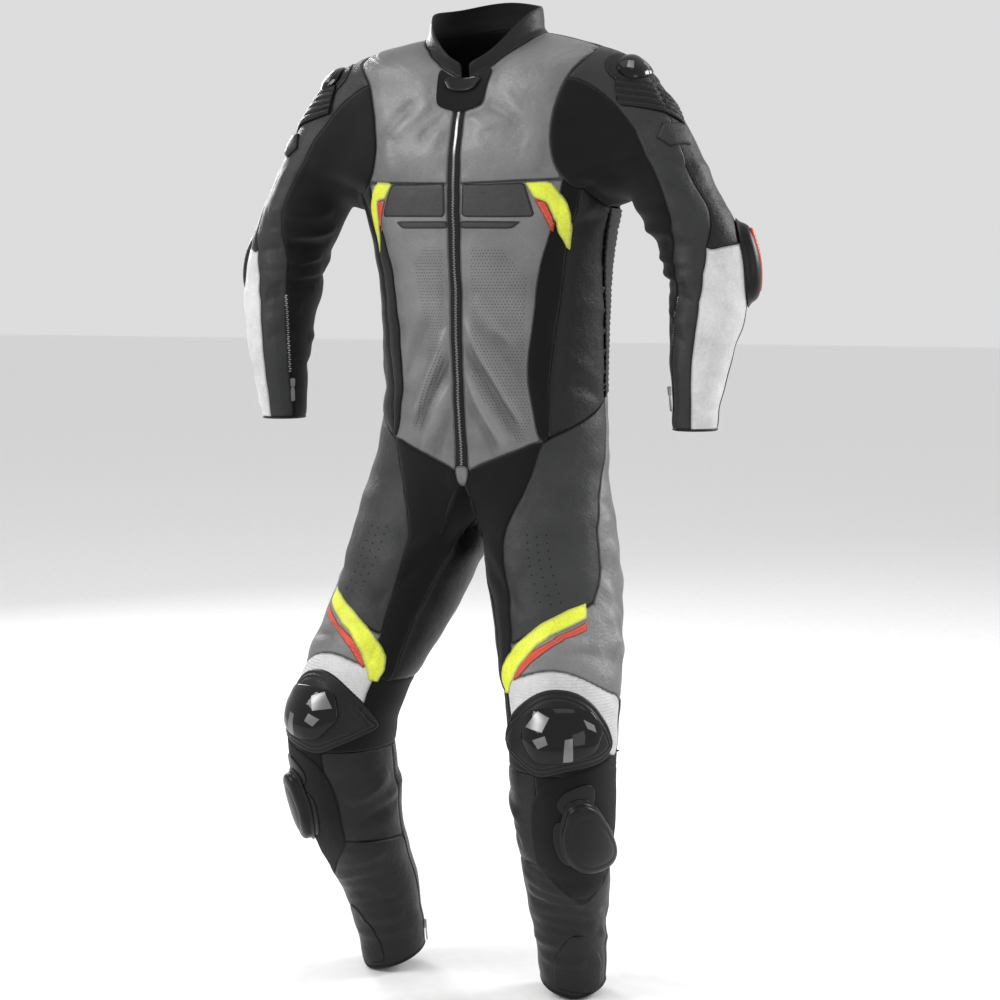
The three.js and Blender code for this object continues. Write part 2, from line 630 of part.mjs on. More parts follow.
// Stand collar, on the neck seam; it is lower where its ends meet in front
const collar = { sign: 1, closed: false };
const collarSteps = 3;
const neckColumns = [
  ...walk(zipC, bellyC),
  ...walk(backC, wholeWidth - backC),
  ...walk(wholeWidth - backC, wholeWidth - backC + 1),
  ...walk(wholeWidth - bellyC + 1, wholeWidth + 1),
];
const neckAxis = new THREE.Vector3(0, -42, 0);
collar.grid = neckColumns.map((i) => {
  const base = trunk.grid[i][neckR];
  const [angle] = trunkNet.where(i, neckR);
  const front = (1 + Math.cos(angle * toRadians)) / 2;
  const rise = collarRise * (1 - 0.45 * front ** 3);
  const inwards = neckAxis.clone().setZ(base.z).sub(base).multiplyScalar(0.07 - 0.13 * front ** 3);
  return Array.from({ length: collarSteps + 1 }, (_, k) => {
    const t = k / collarSteps;
    return base.clone().addScaledVector(inwards, t ** 1.5).setZ(base.z + rise * t);
  });
});
collar.normals = gridNormals(collar.grid, false, 1);
collar.normals.forEach((column, k) => {
  const i = neckColumns[k];
  column[0].add(trunk.normals[i][neckR]).normalize();
  trunk.normals[i][neckR] = column[0];
});
trunk.normals[bellyC] = trunk.normals[bellyC].map((normal, j) => (j < topR ? normal : trunk.normals[backC][j]));
const collarEnd = neckColumns.length - 1;
addPiece('collar', 'blackLeather', clothGeometry(collar, block(0, collarEnd, 0, collarSteps)));

// The trunk's pieces come last, once the seams that it shares have their normals.
for (let i = 0; i < centreC; i += 1) {
  trunk.normals[i].forEach((normal, j) => {
    trunk.normals[wholeWidth - i][j].set(-normal.x, normal.y, normal.z);
  });
}
trunk.normals[centreC].forEach((normal) => normal.setX(0).normalize());
addPair('belly', 'greyLeather', clothGeometry(trunk, block(zipC, bellyC, bottomR, yokeR)));
addPair('yoke', 'greyLeather', clothGeometry(trunk, block(zipC, bellyC, yokeR, neckR)));
addPair('side_front', 'blackStretch', clothGeometry(trunk, block(bellyC, stretchC, bottomR, yokeR)));
addPair('side', 'blackLeather', clothGeometry(trunk, block(stretchC, sideC, bottomR, yokeR)));
addPair('side_accordion', 'blackStretch', clothGeometry(
  trunk,
  block(sideC, sideBackC, bottomR, yokeR),
  { fine: [2, 4], relief: (i, j) => 3.2 * ridge(j * 2) },
));
addPiece('back', 'blackLeather', clothGeometry(trunk, [
  ...block(sideBackC, wholeWidth - sideBackC, bottomR, yokeR),
  ...block(backC, wholeWidth - backC, yokeR, neckR),
]));

// Front zip, between the two front edges
const zip = { sign: 1, closed: false };
const zipMiddle = trunk.grid[0].map((p, j) => trunkPoint(0, trunkNet.where(0, j)[1]));
zip.grid = [trunk.grid[wholeWidth], zipMiddle, trunk.grid[0]];
zip.normals = gridNormals(zip.grid, false, 1);
zip.normals[0] = trunk.normals[wholeWidth];
zip.normals[2] = trunk.normals[0];
zip.normals[1][0] = upperLeg.normals[seatEnd][0].setX(0).normalize();
addPiece('front_zip', 'hardBlack', clothGeometry(zip, block(0, 2, 0, topR)));

// Throat flap over the zip's top, and the plain moulded badge on it
const flapNet = surfaceNet(
  trunkPoint,
  [(at) => mix(-20, -30, (at - 1385) / 155), () => 0, (at) => mix(20, 30, (at - 1385) / 155)],
  [[1388, 1380, 1388], [1540, 1540, 1540]],
  [4, 4],
  [4],
);
const flap = { grid: flapNet.grid, sign: 1, closed: false };
flap.normals = gridNormals(flap.grid, false, 1);
addPiece('throat_flap', 'blackStretch', clothGeometry(flap, block(0, 8, 0, 4), { lift: leather + overlayGap + 0.4 }));

// A moulded piece that lies on a surface: rings give its radius, from the middle out, and its height.
// spot turns a place in mm from the middle into a point and a normal on the surface.
function domeGeometry(spot, radii, rings, options = {}) {
  const { spokes = 20, tilt = 0, gap = overlayGap, outline = () => 1, undersideRings = 2 } = options;
  const [points, triangles] = [[], []];
  const ringPoints = (r, height) => Array.from({ length: spokes }, (_, k) => {
    const turn = (2 * Math.PI * k) / spokes;
    const size = r * outline(turn, r);
    const [x, y] = [Math.cos(turn) * radii[0] * size, Math.sin(turn) * radii[1] * size];
    const [c, d] = [Math.cos(tilt * toRadians), Math.sin(tilt * toRadians)];
    const { point, normal } = spot(x * c - y * d, x * d + y * c);
    return point.clone().addScaledVector(normal, gap + height);
  });
  const addSide = (side, flip) => {
    const { point, normal } = spot(0, 0);
    points.push(point.clone().addScaledVector(normal, gap + side[0][1]));
    const middle = points.length - 1;
    let previous = null;
    side.slice(1).forEach(([r, height]) => {
      const start = points.length;
      points.push(...ringPoints(r, height));
      for (let k = 0; k < spokes; k += 1) {
        const next = (k + 1) % spokes;
        const faces = previous === null
          ? [[middle, start + k, start + next]]
          : [[previous + k, start + k, start + next], [previous + k, start + next, previous + next]];
        faces.forEach(([p, q, r2]) => triangles.push(...(flip ? [p, r2, q] : [p, q, r2])));
      }
      previous = start;
    });
    return previous;
  };
  const top = addSide(rings, false);
  const underside = Array.from({ length: undersideRings + 1 }, (_, k) => [k / undersideRings, 0]);
  const bottom = addSide(underside, true);
  for (let k = 0; k < spokes; k += 1) {
    const next = (k + 1) % spokes;
    triangles.push(top + k, bottom + k, bottom + next, top + k, bottom + next, top + next);
  }
  return indexedGeometry(points, triangles);
}

// Places on a tube given by its section tables, in mm from a middle, and on a net of points.
function onSections(point, angle, level, around) {
  return (x, y) => {
    const [u, v] = [angle + x / (around * toRadians), level + y];
    const round = point(u + 1, v).sub(point(u - 1, v));
    const up = point(u, v + 2).sub(point(u, v - 2));
    return { point: point(u, v), normal: round.cross(up).normalize() };
  };
}
function onNet(tube, column, row) {
  const cell = (i, j) => {
    const [a, b] = [Math.floor(i), Math.floor(j)];
    const [s, t] = [i - a, j - b];
    const blend = (table) => table[a][b].clone().lerp(table[a + 1][b], s)
      .lerp(table[a][b + 1].clone().lerp(table[a + 1][b + 1], s), t);
    return { point: blend(tube.grid), normal: blend(tube.normals).normalize() };
  };
  const middle = cell(column, row).point;
  const perColumn = cell(column + 0.5, row).point.distanceTo(middle) * 2;
  const perRow = cell(column, row + 0.5).point.distanceTo(middle) * 2;
  return (x, y) => cell(column + x / perColumn, row - y / perRow);
}

// Knee cup: a stitched, padded frame with a smooth hard lens in it
const kneeMiddle = { angle: 7, level: 440 };
const kneeRadii = [74, 64];
const kneeOutline = (turn) => 1 - 0.07 * Math.cos(2 * turn + 0.5) - 0.05 * Math.cos(3 * turn - 0.9);
const kneeRings = [[0, 15], [0.34, 14], [0.56, 11], [0.6, 8], [0.66, 10.5], [0.82, 8], [1, 2.5]];
addPair('knee_cup', 'gloss', domeGeometry(
  onSections(legPoint, kneeMiddle.angle, kneeMiddle.level, 83),
  kneeRadii,
  kneeRings,
  { outline: kneeOutline, spokes: 24, gap: 3.4, undersideRings: 4 },
));

// Knee slider: an oval puck on a thin base that grips the hook panel
const puckRings = [[0, 27], [0.3, 26.5], [0.5, 24], [0.6, 17], [0.66, 3], [1, 2]];
addPair('knee_slider', 'hardBlack', domeGeometry(
  onSections(legPoint, 34, 282, 75),
  [50, 74],
  puckRings,
  { tilt: -8, gap: 1.15, undersideRings: 4 },
));

// Elbow and shoulder cups
addPair('elbow_cup', 'hardBlack', domeGeometry(
  onSections(armPoint, 112, 1096, 60),
  [34, 52],
  [[0, 14], [0.4, 13], [0.62, 10], [0.7, 6], [1, 2]],
  { tilt: -6, gap: 1.2, undersideRings: 4 },
));
const shoulderSpot = { column: 2.9, row: 1.45 };
addPair('shoulder_cup', 'gloss', domeGeometry(
  onNet(arm, shoulderSpot.column, shoulderSpot.row),
  [46, 40],
  [[0, 12], [0.4, 11], [0.6, 8.5], [0.66, 6.5], [0.78, 7.5], [1, 2]],
  { gap: 2.6, spokes: 18, undersideRings: 4 },
));
addPiece('throat_badge', 'gloss', domeGeometry(
  onSections(trunkPoint, 0, 1436, 90),
  [33, 17],
  [[0, 5.5], [0.55, 5.2], [0.8, 4.4], [1, 1.6]],
  { gap: overlayGap + 0.4 + leather + 0.9, spokes: 18, outline: (turn) => 1 - 0.06 * Math.cos(6 * turn) },
));
addPiece('zip_guard', 'greyLeather', domeGeometry(
  onSections(trunkPoint, 0, zipBottom, 120),
  [15, 17],
  [[0, 3], [0.7, 2.8], [1, 2]],
  { gap: 3.0, spokes: 16, undersideRings: 3, outline: (turn) => 1 - 0.1 * Math.cos(4 * turn + Math.PI) },
));

// Zip sliders at cuff and ankle, each with a pull tab that swings on its lower edge
const slider = { wide: 9, long: 13, thick: 3.6, above: 0.5 };
const tab = { wide: 7, long: 22, thick: 1.6, beforeHinge: 0.9, hingeGap: 1.6 };
function platePart(outline, thick, base, frame) {
  const count = outline.length;
  const level = (z) => outline.map(([x, y]) => new THREE.Vector3(x, y, z).applyMatrix4(frame));
  const triangles = [];
  for (let k = 0; k < count; k += 1) {
    const next = (k + 1) % count;
    triangles.push(k, next, count + next, k, count + next, count + k);
    if (k > 0 && next > 0) triangles.push(0, next, k, count, count + k, count + next);
  }
  return indexedGeometry([...level(base), ...level(base + thick)], triangles);
}
function addZipEnd(name, place) {
  const down = place(0, -1).point.sub(place(0, 1).point).normalize();
  const { point, normal } = place(0, 0);
  const out = normal.clone().addScaledVector(down, -normal.dot(down)).normalize();
  const across = down.clone().cross(out);
  const frame = new THREE.Matrix4().makeBasis(across, down, out).setPosition(point);
  const [w, l] = [slider.wide / 2, slider.long / 2];
  addPair(`${name}_slider`, 'metal', platePart(
    [[-w, -l + 2], [-w + 2, -l], [w - 2, -l], [w, -l + 2], [w * 0.75, l], [-w * 0.75, l]],
    slider.thick,
    slider.above,
    frame,
  ));
  const hinge = [l + tab.hingeGap, slider.above + slider.thick / 2];
  const [tw, top, end] = [tab.wide / 2, hinge[0] - tab.beforeHinge, hinge[0] + tab.long];
  addPair(`${name}_pull`, 'metal', platePart(
    [[-tw * 0.6, top], [tw * 0.6, top], [tw, top + 6], [tw, end - 2], [tw - 2, end], [2 - tw, end], [-tw, end - 2], [-tw, top + 6]],
    tab.thick,
    hinge[1] - tab.thick / 2,
    frame,
  ));
  const axisPoint = new THREE.Vector3(0, hinge[0], hinge[1]).applyMatrix4(frame).add(suit.position);
  suit.children[suit.children.length - 2].userData.hinge = { point: axisPoint, axis: across };
}
addZipEnd('cuff', onSections(armPoint, -54, 921, 40));
addZipEnd('ankle', onSections(legPoint, -120, 66, 52));

export default suit;
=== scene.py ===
# %% [markdown]
# A one-piece race suit is sewn from leather and stretch panels round a bent body.
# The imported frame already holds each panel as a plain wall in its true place.
# This lesson gives every panel a soft, padded skin, sews it, and adds the hard parts.

import json
import math

import bmesh
import bpy
import numpy as np
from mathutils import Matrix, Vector, geometry
from mathutils.bvhtree import BVHTree
from mathutils.kdtree import KDTree

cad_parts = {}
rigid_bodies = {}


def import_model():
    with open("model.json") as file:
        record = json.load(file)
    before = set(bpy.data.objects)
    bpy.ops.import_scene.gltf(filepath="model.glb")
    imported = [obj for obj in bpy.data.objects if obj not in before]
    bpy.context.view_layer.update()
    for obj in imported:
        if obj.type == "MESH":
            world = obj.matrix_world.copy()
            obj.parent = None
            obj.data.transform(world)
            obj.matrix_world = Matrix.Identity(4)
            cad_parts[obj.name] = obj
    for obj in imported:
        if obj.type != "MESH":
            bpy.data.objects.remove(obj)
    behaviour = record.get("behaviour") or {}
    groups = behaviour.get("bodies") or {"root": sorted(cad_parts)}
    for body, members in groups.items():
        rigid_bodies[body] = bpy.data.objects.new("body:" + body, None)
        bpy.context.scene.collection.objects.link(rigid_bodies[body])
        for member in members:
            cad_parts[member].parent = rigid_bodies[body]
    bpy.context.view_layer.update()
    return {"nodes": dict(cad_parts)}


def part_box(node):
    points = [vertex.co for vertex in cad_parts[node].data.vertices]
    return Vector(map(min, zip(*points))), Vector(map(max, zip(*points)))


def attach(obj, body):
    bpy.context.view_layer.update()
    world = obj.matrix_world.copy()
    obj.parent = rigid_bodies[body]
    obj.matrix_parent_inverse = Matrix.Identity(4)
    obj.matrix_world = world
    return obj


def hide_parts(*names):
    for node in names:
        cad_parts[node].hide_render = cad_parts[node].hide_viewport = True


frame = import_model()
nodes = frame["nodes"]
for thing in bpy.data.objects:
    thing.select_set(False)

# %% [markdown]
# The camera stands where the photograph's camera stood: a little to the wearer's left,
# at waist height, and far enough away for a short telephoto lens.

# %% Camera
TABLE_ZERO = np.array([0.0, 45.0, -1405.0])  # mm, from the tables' levels to the frame
CAMERA_TURN = 24.04
CAMERA_TILT = 6.12
CAMERA_AWAY = 3201.0
CAMERA_LEVEL = 1084.0
turn = math.radians(CAMERA_TURN)
eye = np.array([CAMERA_AWAY * math.sin(turn), -CAMERA_AWAY * math.cos(turn), CAMERA_LEVEL])
camera_data = bpy.data.cameras.new("camera")
camera_data.lens = 74.4
camera_data.sensor_width = 36.0
camera = bpy.data.objects.new("camera", camera_data)
bpy.context.scene.collection.objects.link(camera)
camera.location = (eye + TABLE_ZERO) / 1000
camera.rotation_euler = (math.radians(90 - CAMERA_TILT), 0, turn)
bpy.context.scene.camera = camera
print("camera at", [round(v, 3) for v in camera.location])

# %% [markdown]
# A pale floor runs far back, so that it reads as an empty studio.
# One large soft light from the front left, a fill from the right and two strips behind
# give leather its broad highlights and draw the black pieces' edges.

# %% Floor and lights
FLOOR_LEVEL = -2.0
bpy.ops.mesh.primitive_plane_add(size=60, location=(0, 0, (TABLE_ZERO[2] + FLOOR_LEVEL) / 1000))
floor = bpy.context.object
floor.name = "studio_floor"
floor.select_set(False)
LIGHTS = [
    # name, place in m, aim in m, size in m, watts
    ("key", (-2.6, -2.6, 1.9), (0, 0, -0.5), 1.6, 84),
    ("fill", (3.6, -2.0, 0.4), (0, 0, -0.6), 2.0, 20),
    ("top", (0.4, -0.6, 2.6), (0, 0, -0.6), 1.8, 12),
    ("rim_left", (2.4, 2.2, 0.9), (0, 0, -0.5), 1.2, 70),
    ("rim_right", (-2.6, 2.0, 0.7), (0, 0, -0.5), 1.2, 55),
]
for name, at, aim, size, watts in LIGHTS:
    lamp = bpy.data.lights.new(name, "AREA")
    lamp.size = size
    lamp.energy = watts
    holder = bpy.data.objects.new(name, lamp)
    bpy.context.scene.collection.objects.link(holder)
    holder.location = at
    holder.rotation_euler = (Vector(aim) - Vector(at)).to_track_quat("-Z", "Y").to_euler()
world = bpy.data.worlds.new("studio")
bpy.context.scene.world = world
world.use_nodes = True
world.node_tree.nodes["Background"].inputs["Color"].default_value = (1, 1, 1, 1)
world.node_tree.nodes["Background"].inputs["Strength"].default_value = 0.72
bpy.context.scene.view_settings.view_transform = "Standard"
print("lights", len(LIGHTS))

# %% [markdown]
# Shader maths reads best as plain sums. A small class wraps a socket,
# so that adding or multiplying two values adds the Math node for it.

# %% Sockets as numbers
class Value:
    def __init__(self, tree, socket):
        self.tree = tree
        self.socket = socket

    def node(self, kind, settings=None, **inputs):
        made = self.tree.nodes.new(kind)
        for key, setting in (settings or {}).items():
            setattr(made, key, setting)
        for key, given in inputs.items():
            name = int(key[1:]) if key[0] == "_" and key[1:].isdigit() else key.replace("_", " ")
            socket = made.inputs[name]
            if isinstance(given, Value):
                self.tree.links.new(given.socket, socket)
            else:
                socket.default_value = given
        return made

    def maths(self, operation, *terms):
        inputs = {f"_{k}": term for k, term in enumerate(terms)}
        made = self.node("ShaderNodeMath", {"operation": operation}, **inputs)
        return Value(self.tree, made.outputs[0])

    def __add__(self, other):
        return self.maths("ADD", self, other)

    def __sub__(self, other):
        return self.maths("SUBTRACT", self, other)

    def __rsub__(self, other):
        return self.maths("SUBTRACT", other, self)

    def __mul__(self, other):
        return self.maths("MULTIPLY", self, other)

    __radd__ = __add__
    __rmul__ = __mul__

    def between(self, low, high):
        made = self.node(
            "ShaderNodeMapRange",
            {"interpolation_type": "SMOOTHSTEP"},
            Value=self, From_Min=low, From_Max=high,
        )
        return Value(self.tree, made.outputs["Result"])


# %% Finish builder
class Finish:
    def __init__(self, name):
        self.material = bpy.data.materials.new(name)
        self.material.use_nodes = True
        self.tree = self.material.node_tree
        self.shader = self.tree.nodes["Principled BSDF"]
        self.value = Value(self.tree, None)
        coordinates = self.tree.nodes.new("ShaderNodeTexCoord")
        self.object_place = Value(self.tree, coordinates.outputs["Object"])
        self.cloth_place = Value(self.tree, coordinates.outputs["UV"])
        self.heights = []

    def noise(self, scale, detail=4.0, roughness=0.55):
        made = self.value.node(
            "ShaderNodeTexNoise", Vector=self.object_place, Scale=scale, Detail=detail, Roughness=roughness,
        )
        return Value(self.tree, made.outputs["Fac"])

    def cells(self, scale):
        made = self.value.node(
            "ShaderNodeTexVoronoi", {"feature": "DISTANCE_TO_EDGE"}, Vector=self.object_place, Scale=scale,
        )
        return Value(self.tree, made.outputs["Distance"])

    def attribute(self, name):
        made = self.value.node("ShaderNodeAttribute", {"attribute_name": name})
        return Value(self.tree, made.outputs["Fac"])

    def split(self, place):
        made = self.value.node("ShaderNodeSeparateXYZ", Vector=place)
        return [Value(self.tree, made.outputs[axis]) for axis in "XYZ"]

    def blend(self, amount, low, high):
        made = self.value.node(
            "ShaderNodeMix", {"data_type": "RGBA"}, Factor=amount, _6=low, _7=high,
        )
        return Value(self.tree, made.outputs[2])

    def feed(self, socket, value):
        self.tree.links.new(value.socket, self.shader.inputs[socket])

    def fixed(self, **constants):
        for key, number in constants.items():
            self.shader.inputs[key.replace("_", " ")].default_value = number

    def bump(self, height, depth_mm):
        made = self.value.node("ShaderNodeBump", Height=height, Distance=depth_mm / 1000)
        if self.heights:
            self.tree.links.new(self.heights[-1].socket, made.inputs["Normal"])
        self.heights.append(Value(self.tree, made.outputs["Normal"]))
        self.tree.links.new(made.outputs["Normal"], self.shader.inputs["Normal"])


def grey(tone, shift=(1.0, 1.0, 1.0)):
    return tuple(tone * s for s in shift) + (1.0,)


finishes = {}

# %% [markdown]
# Suit leather is cowhide: a fine pebble grain, a few wider creases and a satin top coat.
# Painted shading sits in its colour: lighter fold ridges, darker fold hollows, and painted shade along the
# seams.

# %% Leather
THREAD_MM = 0.42
STITCHES_PER_METRE = 330.0


def stitch_rows(finish, places):
    """Lockstitches beside a seam: short raised bars at set distances, in mm."""
    seam = finish.attribute("seam_mm")
    x, y, z = finish.split(finish.object_place)
    along = (x * 0.8 + y * 0.55 + z) * STITCHES_PER_METRE
    dash = along.maths("FRACT", along)
    dash = dash.between(0.08, 0.2) * (1 - dash.between(0.78, 0.9))
    rows = None
    for place in places:
        off = seam - place
        row = 1 - off.maths("ABSOLUTE", off).between(THREAD_MM * 0.6, THREAD_MM * 1.2)
        rows = row if rows is None else rows + row
    return rows * dash


def leather(name, tone, shift=(1, 1, 1), shine=0.42, metal=0.0, grain=1.0, flake=0.0, depth=0.3,
            thread=0.02, rows=(2.2,)):
    """Grained leather: tone is its grey, shift its tint, depth how far painted fold shading lightens its
    ridges and darkens its hollows.
    """
    finish = Finish(name)
    pebble = finish.cells(620.0)
    crease = finish.noise(85.0, 6.0, 0.62)
    cloud = finish.noise(9.0, 3.0)
    speck = finish.noise(1500.0, 2.0)
    mottle = finish.noise(300.0, 5.0, 0.6)
    wrinkle = finish.noise(26.0, 8.0, 0.68)
    # Painted shade: the colour darkens within 4 mm of each seam, where the seam groove lies.
    painted_seam_shade = 1 - finish.attribute("seam_mm").between(0.0, 4.0)
    # Painted shading: the height over the wall lightens fold ridges and darkens fold hollows, by depth.
    painted_fold_shading = finish.attribute("rise_mm").between(-4.0, 5.0)
    amount = cloud * 0.3 + wrinkle * 0.5 + crease * 0.2 + mottle * 0.4 - 0.45
    amount = amount + speck * flake + painted_fold_shading * depth - painted_seam_shade * 0.3
    tint = finish.blend(amount, grey(tone * 0.55, shift), grey(tone * 1.5, shift))
    stitch = stitch_rows(finish, rows)
    finish.feed("Base Color", finish.blend(stitch, tint, grey(thread)))
    finish.feed("Roughness", crease * 0.2 + cloud * 0.12 + (shine - 0.16))
    finish.fixed(Metallic=metal, Specular_IOR_Level=0.24)
    finish.bump(wrinkle, 2.2 * grain)
    finish.bump(crease, 0.6 * grain)
    finish.bump(mottle, 0.3 * grain)
    finish.bump(pebble.between(0.0, 0.5), 0.14 * grain)
    finish.bump(stitch + finish.attribute("seam_mm").between(0.0, 1.1), 0.5)
    finishes[name] = finish.material
    return finish


leather("grey_leather", 0.15, (1, 1, 1), 0.44, metal=0.45, grain=1.0, flake=0.35, depth=0.5, thread=0.05)
leather("black_leather", 0.009, (1, 1, 1.02), 0.42, thread=0.03)
leather("thigh_leather", 0.034, (0.98, 1, 1.03), 0.44, thread=0.02)
leather("band_leather", 0.030, (0.98, 1, 1.02), 0.44, thread=0.02)
leather("chest_leather", 0.05, (1, 1, 1), 0.46, metal=0.2, flake=0.3, thread=0.02)
leather("white_leather", 0.66, (1, 1, 1.01), 0.40, grain=0.45, thread=0.5, depth=0.2)
leather("yellow_leather", 0.98, (0.92, 1.0, 0.08), 0.42, grain=0.2, thread=0.6, depth=0.0)
leather("red_leather", 0.80, (1.0, 0.10, 0.05), 0.42, grain=0.2, thread=0.3, depth=0.0)
print("leathers", sorted(finishes))

# %% [markdown]
# The belly's leather is punched with rows of small holes so that air gets through.
# The holes follow the cloth's own map, in a staggered lattice, inside a soft outline.

# %% Punched leather
HOLE_PITCH = 0.0046
HOLE_RADIUS = 0.0008


def punched(name, tone):
    """Grey leather with a staggered lattice of holes wherever the punched mask is set."""
    finish = leather(name, tone, (1, 1, 1), 0.44, metal=0.45, flake=0.35, depth=0.5, thread=0.05)
    across, along = (part * (1 / HOLE_PITCH) for part in finish.split(finish.cloth_place)[:2])
    row = along.maths("FLOOR", along)
    shifted = across + row * 0.5
    x = shifted.maths("FRACT", shifted) - 0.5
    y = along.maths("FRACT", along) - 0.5
    square = x * x + y * y
    away = square.maths("SQRT", square)
    edge = HOLE_RADIUS / HOLE_PITCH
    hole = (1 - away.between(edge * 0.7, edge * 1.15)) * finish.attribute("punched").between(0.35, 0.65)
    plain = finish.shader.inputs["Base Color"].links[0].from_socket
    finish.feed("Base Color", finish.blend(hole * 0.8, Value(finish.tree, plain), grey(0.012)))
    finish.bump(1 - hole, 0.6)


def ribbed(name, tone, pitch_mm, rib_mm, **more):
    """Leather stitched over fine cords that run round the leg."""
    finish = leather(name, tone, (1, 1, 1), 0.42, **more)
    wave = finish.split(finish.cloth_place)[1] * (2 * math.pi * 1000 / pitch_mm)
    rib = wave.maths("SINE", wave)
    finish.bump(rib.between(-0.9, 0.5), rib_mm)


ribbed("white_ribs", 0.62, 4.4, 0.45, grain=0.3, thread=0.5, depth=0.2)
ribbed("black_ribs", 0.009, 5.0, 0.9, grain=0.5, thread=0.02)
punched("belly_leather", 0.155)
print("ribbed and punched leathers made")

# %% [markdown]
# Stretch cloth is a matt woven nylon. Its crossing yarns are two fine waves,
# and the loop cloth under the knee slider is a dense fuzz.

# %% Woven cloths
def woven(name, tone, yarn_mm, depth, rough=0.85, sheen=0.1):
    """Plain-woven cloth: two crossing sine waves, yarn_mm apart, under a fine fuzz."""
    finish = Finish(name)
    waves = [part * (2 * math.pi * 1000 / yarn_mm) for part in finish.split(finish.cloth_place)[:2]]
    weave = waves[0].maths("SINE", waves[0]) * waves[1].maths("SINE", waves[1])
    cloud = finish.noise(14.0, 3.0)
    fibre = finish.noise(900.0, 3.0)
    finish.feed("Base Color", finish.blend(
        cloud * 0.5 + weave * 0.15 + fibre * 0.35, grey(tone * 0.6), grey(tone * 1.5),
    ))
    finish.feed("Roughness", fibre * 0.1 + (rough - 0.05))
    finish.fixed(Sheen_Weight=sheen, Sheen_Roughness=0.5, Specular_IOR_Level=0.12)
    finish.bump(weave * 0.5 + fibre * 0.5, depth)
    finishes[name] = finish.material


woven("black_stretch", 0.006, 1.1, 0.10, sheen=0.12)
woven("accordion_cloth", 0.009, 1.4, 0.12, rough=0.6)
woven("hook_cloth", 0.006, 1.8, 0.5, rough=0.95, sheen=0.1)
woven("lining_cloth", 0.010, 1.5, 0.10)
print("cloths", sorted(name for name in finishes if "cloth" in name or "stretch" in name))

# %% [markdown]
# Moulded cups and pucks are plastic: glossy lacquer, satin black and a red slider.
# Metal zips are darkened and only a little rubbed.

# %% Moulded and metal finishes
def moulded(name, colour, rough, metal=0.0, coat=0.0, scratch=0.05, grain_mm=0.02):
    """Smooth plastic or metal, with faint smears in its gloss and a very fine grain."""
    finish = Finish(name)
    smear = finish.noise(38.0, 5.0)
    fine = finish.noise(1300.0, 2.0)
    dark = tuple(c * 0.86 for c in colour[:3]) + (1.0,)
    finish.feed("Base Color", finish.blend(smear, dark, colour))
    finish.feed("Roughness", smear * scratch + (rough - scratch / 2))
    finish.fixed(Metallic=metal, Coat_Weight=coat, Coat_Roughness=0.04, Specular_IOR_Level=0.22)
    finish.bump(fine, grain_mm)
    finishes[name] = finish.material


moulded("lens_black", grey(0.004), 0.10, coat=0.3, grain_mm=0.004)
leather("frame_black", 0.010, (1, 1, 1), 0.40, grain=0.5, thread=0.04, rows=(3.0, 9.6, 14.6), depth=0.2)
moulded("puck_black", grey(0.006), 0.36, scratch=0.12, grain_mm=0.05)
moulded("zip_metal", grey(0.32), 0.36, metal=1.0, grain_mm=0.01)
moulded("zip_tape", grey(0.012), 0.8, grain_mm=0.08)
moulded("slider_red", (0.72, 0.075, 0.035, 1.0), 0.35, coat=0.3)
moulded("floor_white", grey(0.96), 0.55, grain_mm=0.0)
floor.data.materials.append(finishes["floor_white"])
print("finishes", len(finishes))

# %% [markdown]
# The body, the legs and the sleeves are tubes. Short tables give their rings in mm,
# so that any spot on the cloth has a plain address: degrees round the tube, and level.

# %% Ring tables
BODY_RINGS = np.array([
    # level, half width, front, back, middle, squareness, drop in front
    (780, 201, 116, 118, -20, 2.3, 0),
    (842, 188, 138, 118, -9, 2.2, 0),
    (905, 179, 146, 104, -8, 2.15, 0),
    (990, 181, 150, 98, -8, 2.1, 0),
    (1083, 184, 152, 104, -10, 2.1, 0),
    (1145, 194, 146, 116, -20, 2.1, 0),
    (1222, 211, 137, 125, -31, 2.2, 4),
    (1300, 212, 126, 122, -36, 2.5, 20),
    (1370, 210, 108, 112, -40, 2.9, 50),
    (1420, 200, 97, 100, -43, 3.0, 66),
    (1550, 91, 78, 76, -46, 2.1, 71),
], float)
LEG_RINGS = np.array([
    # level, x, y, across, fore and aft, turned outwards
    (740, 110, -62, 106, 112, 4), (700, 112, -64, 105, 111, 6), (660, 116, -66, 106, 112, 8),
    (620, 126, -76, 100, 112, 12), (580, 139, -95, 97, 106, 14), (540, 151, -118, 94, 100, 14),
    (500, 163, -142, 89, 93, 14), (460, 175, -163, 84, 89, 14), (420, 182, -180, 80, 87, 14),
    (380, 183, -182, 78, 86, 14), (340, 182, -177, 76, 84, 14), (300, 179, -168, 74, 82, 14),
    (260, 176, -158, 71, 78, 14), (220, 171, -142, 67, 73, 14), (180, 166, -122, 63, 67, 14),
    (140, 160, -103, 59, 62, 12), (100, 157, -89, 55, 58, 10), (60, 155, -77, 52, 55, 8),
    (20, 154, -68, 50, 53, 6), (-20, 153, -62, 49, 52, 5),
], float)[::-1]
ARM_RINGS = np.array([
    # level, x, y, across, fore and aft, lean
    (1300, 262, -44, 56, 64, 22), (1260, 278, -50, 59, 66, 25), (1220, 295, -55, 61, 67, 28),
    (1180, 316, -55, 60, 66, 28), (1140, 337, -50, 60, 64, 20), (1100, 350, -49, 60, 62, 10),
    (1060, 354, -53, 58, 60, 2), (1020, 354, -60, 54, 56, -3), (980, 351, -68, 48, 51, -5),
    (940, 347, -73, 42, 45, -4), (900, 344, -72, 36, 39, -2), (860, 343, -70, 33, 36, 0),
], float)[::-1]


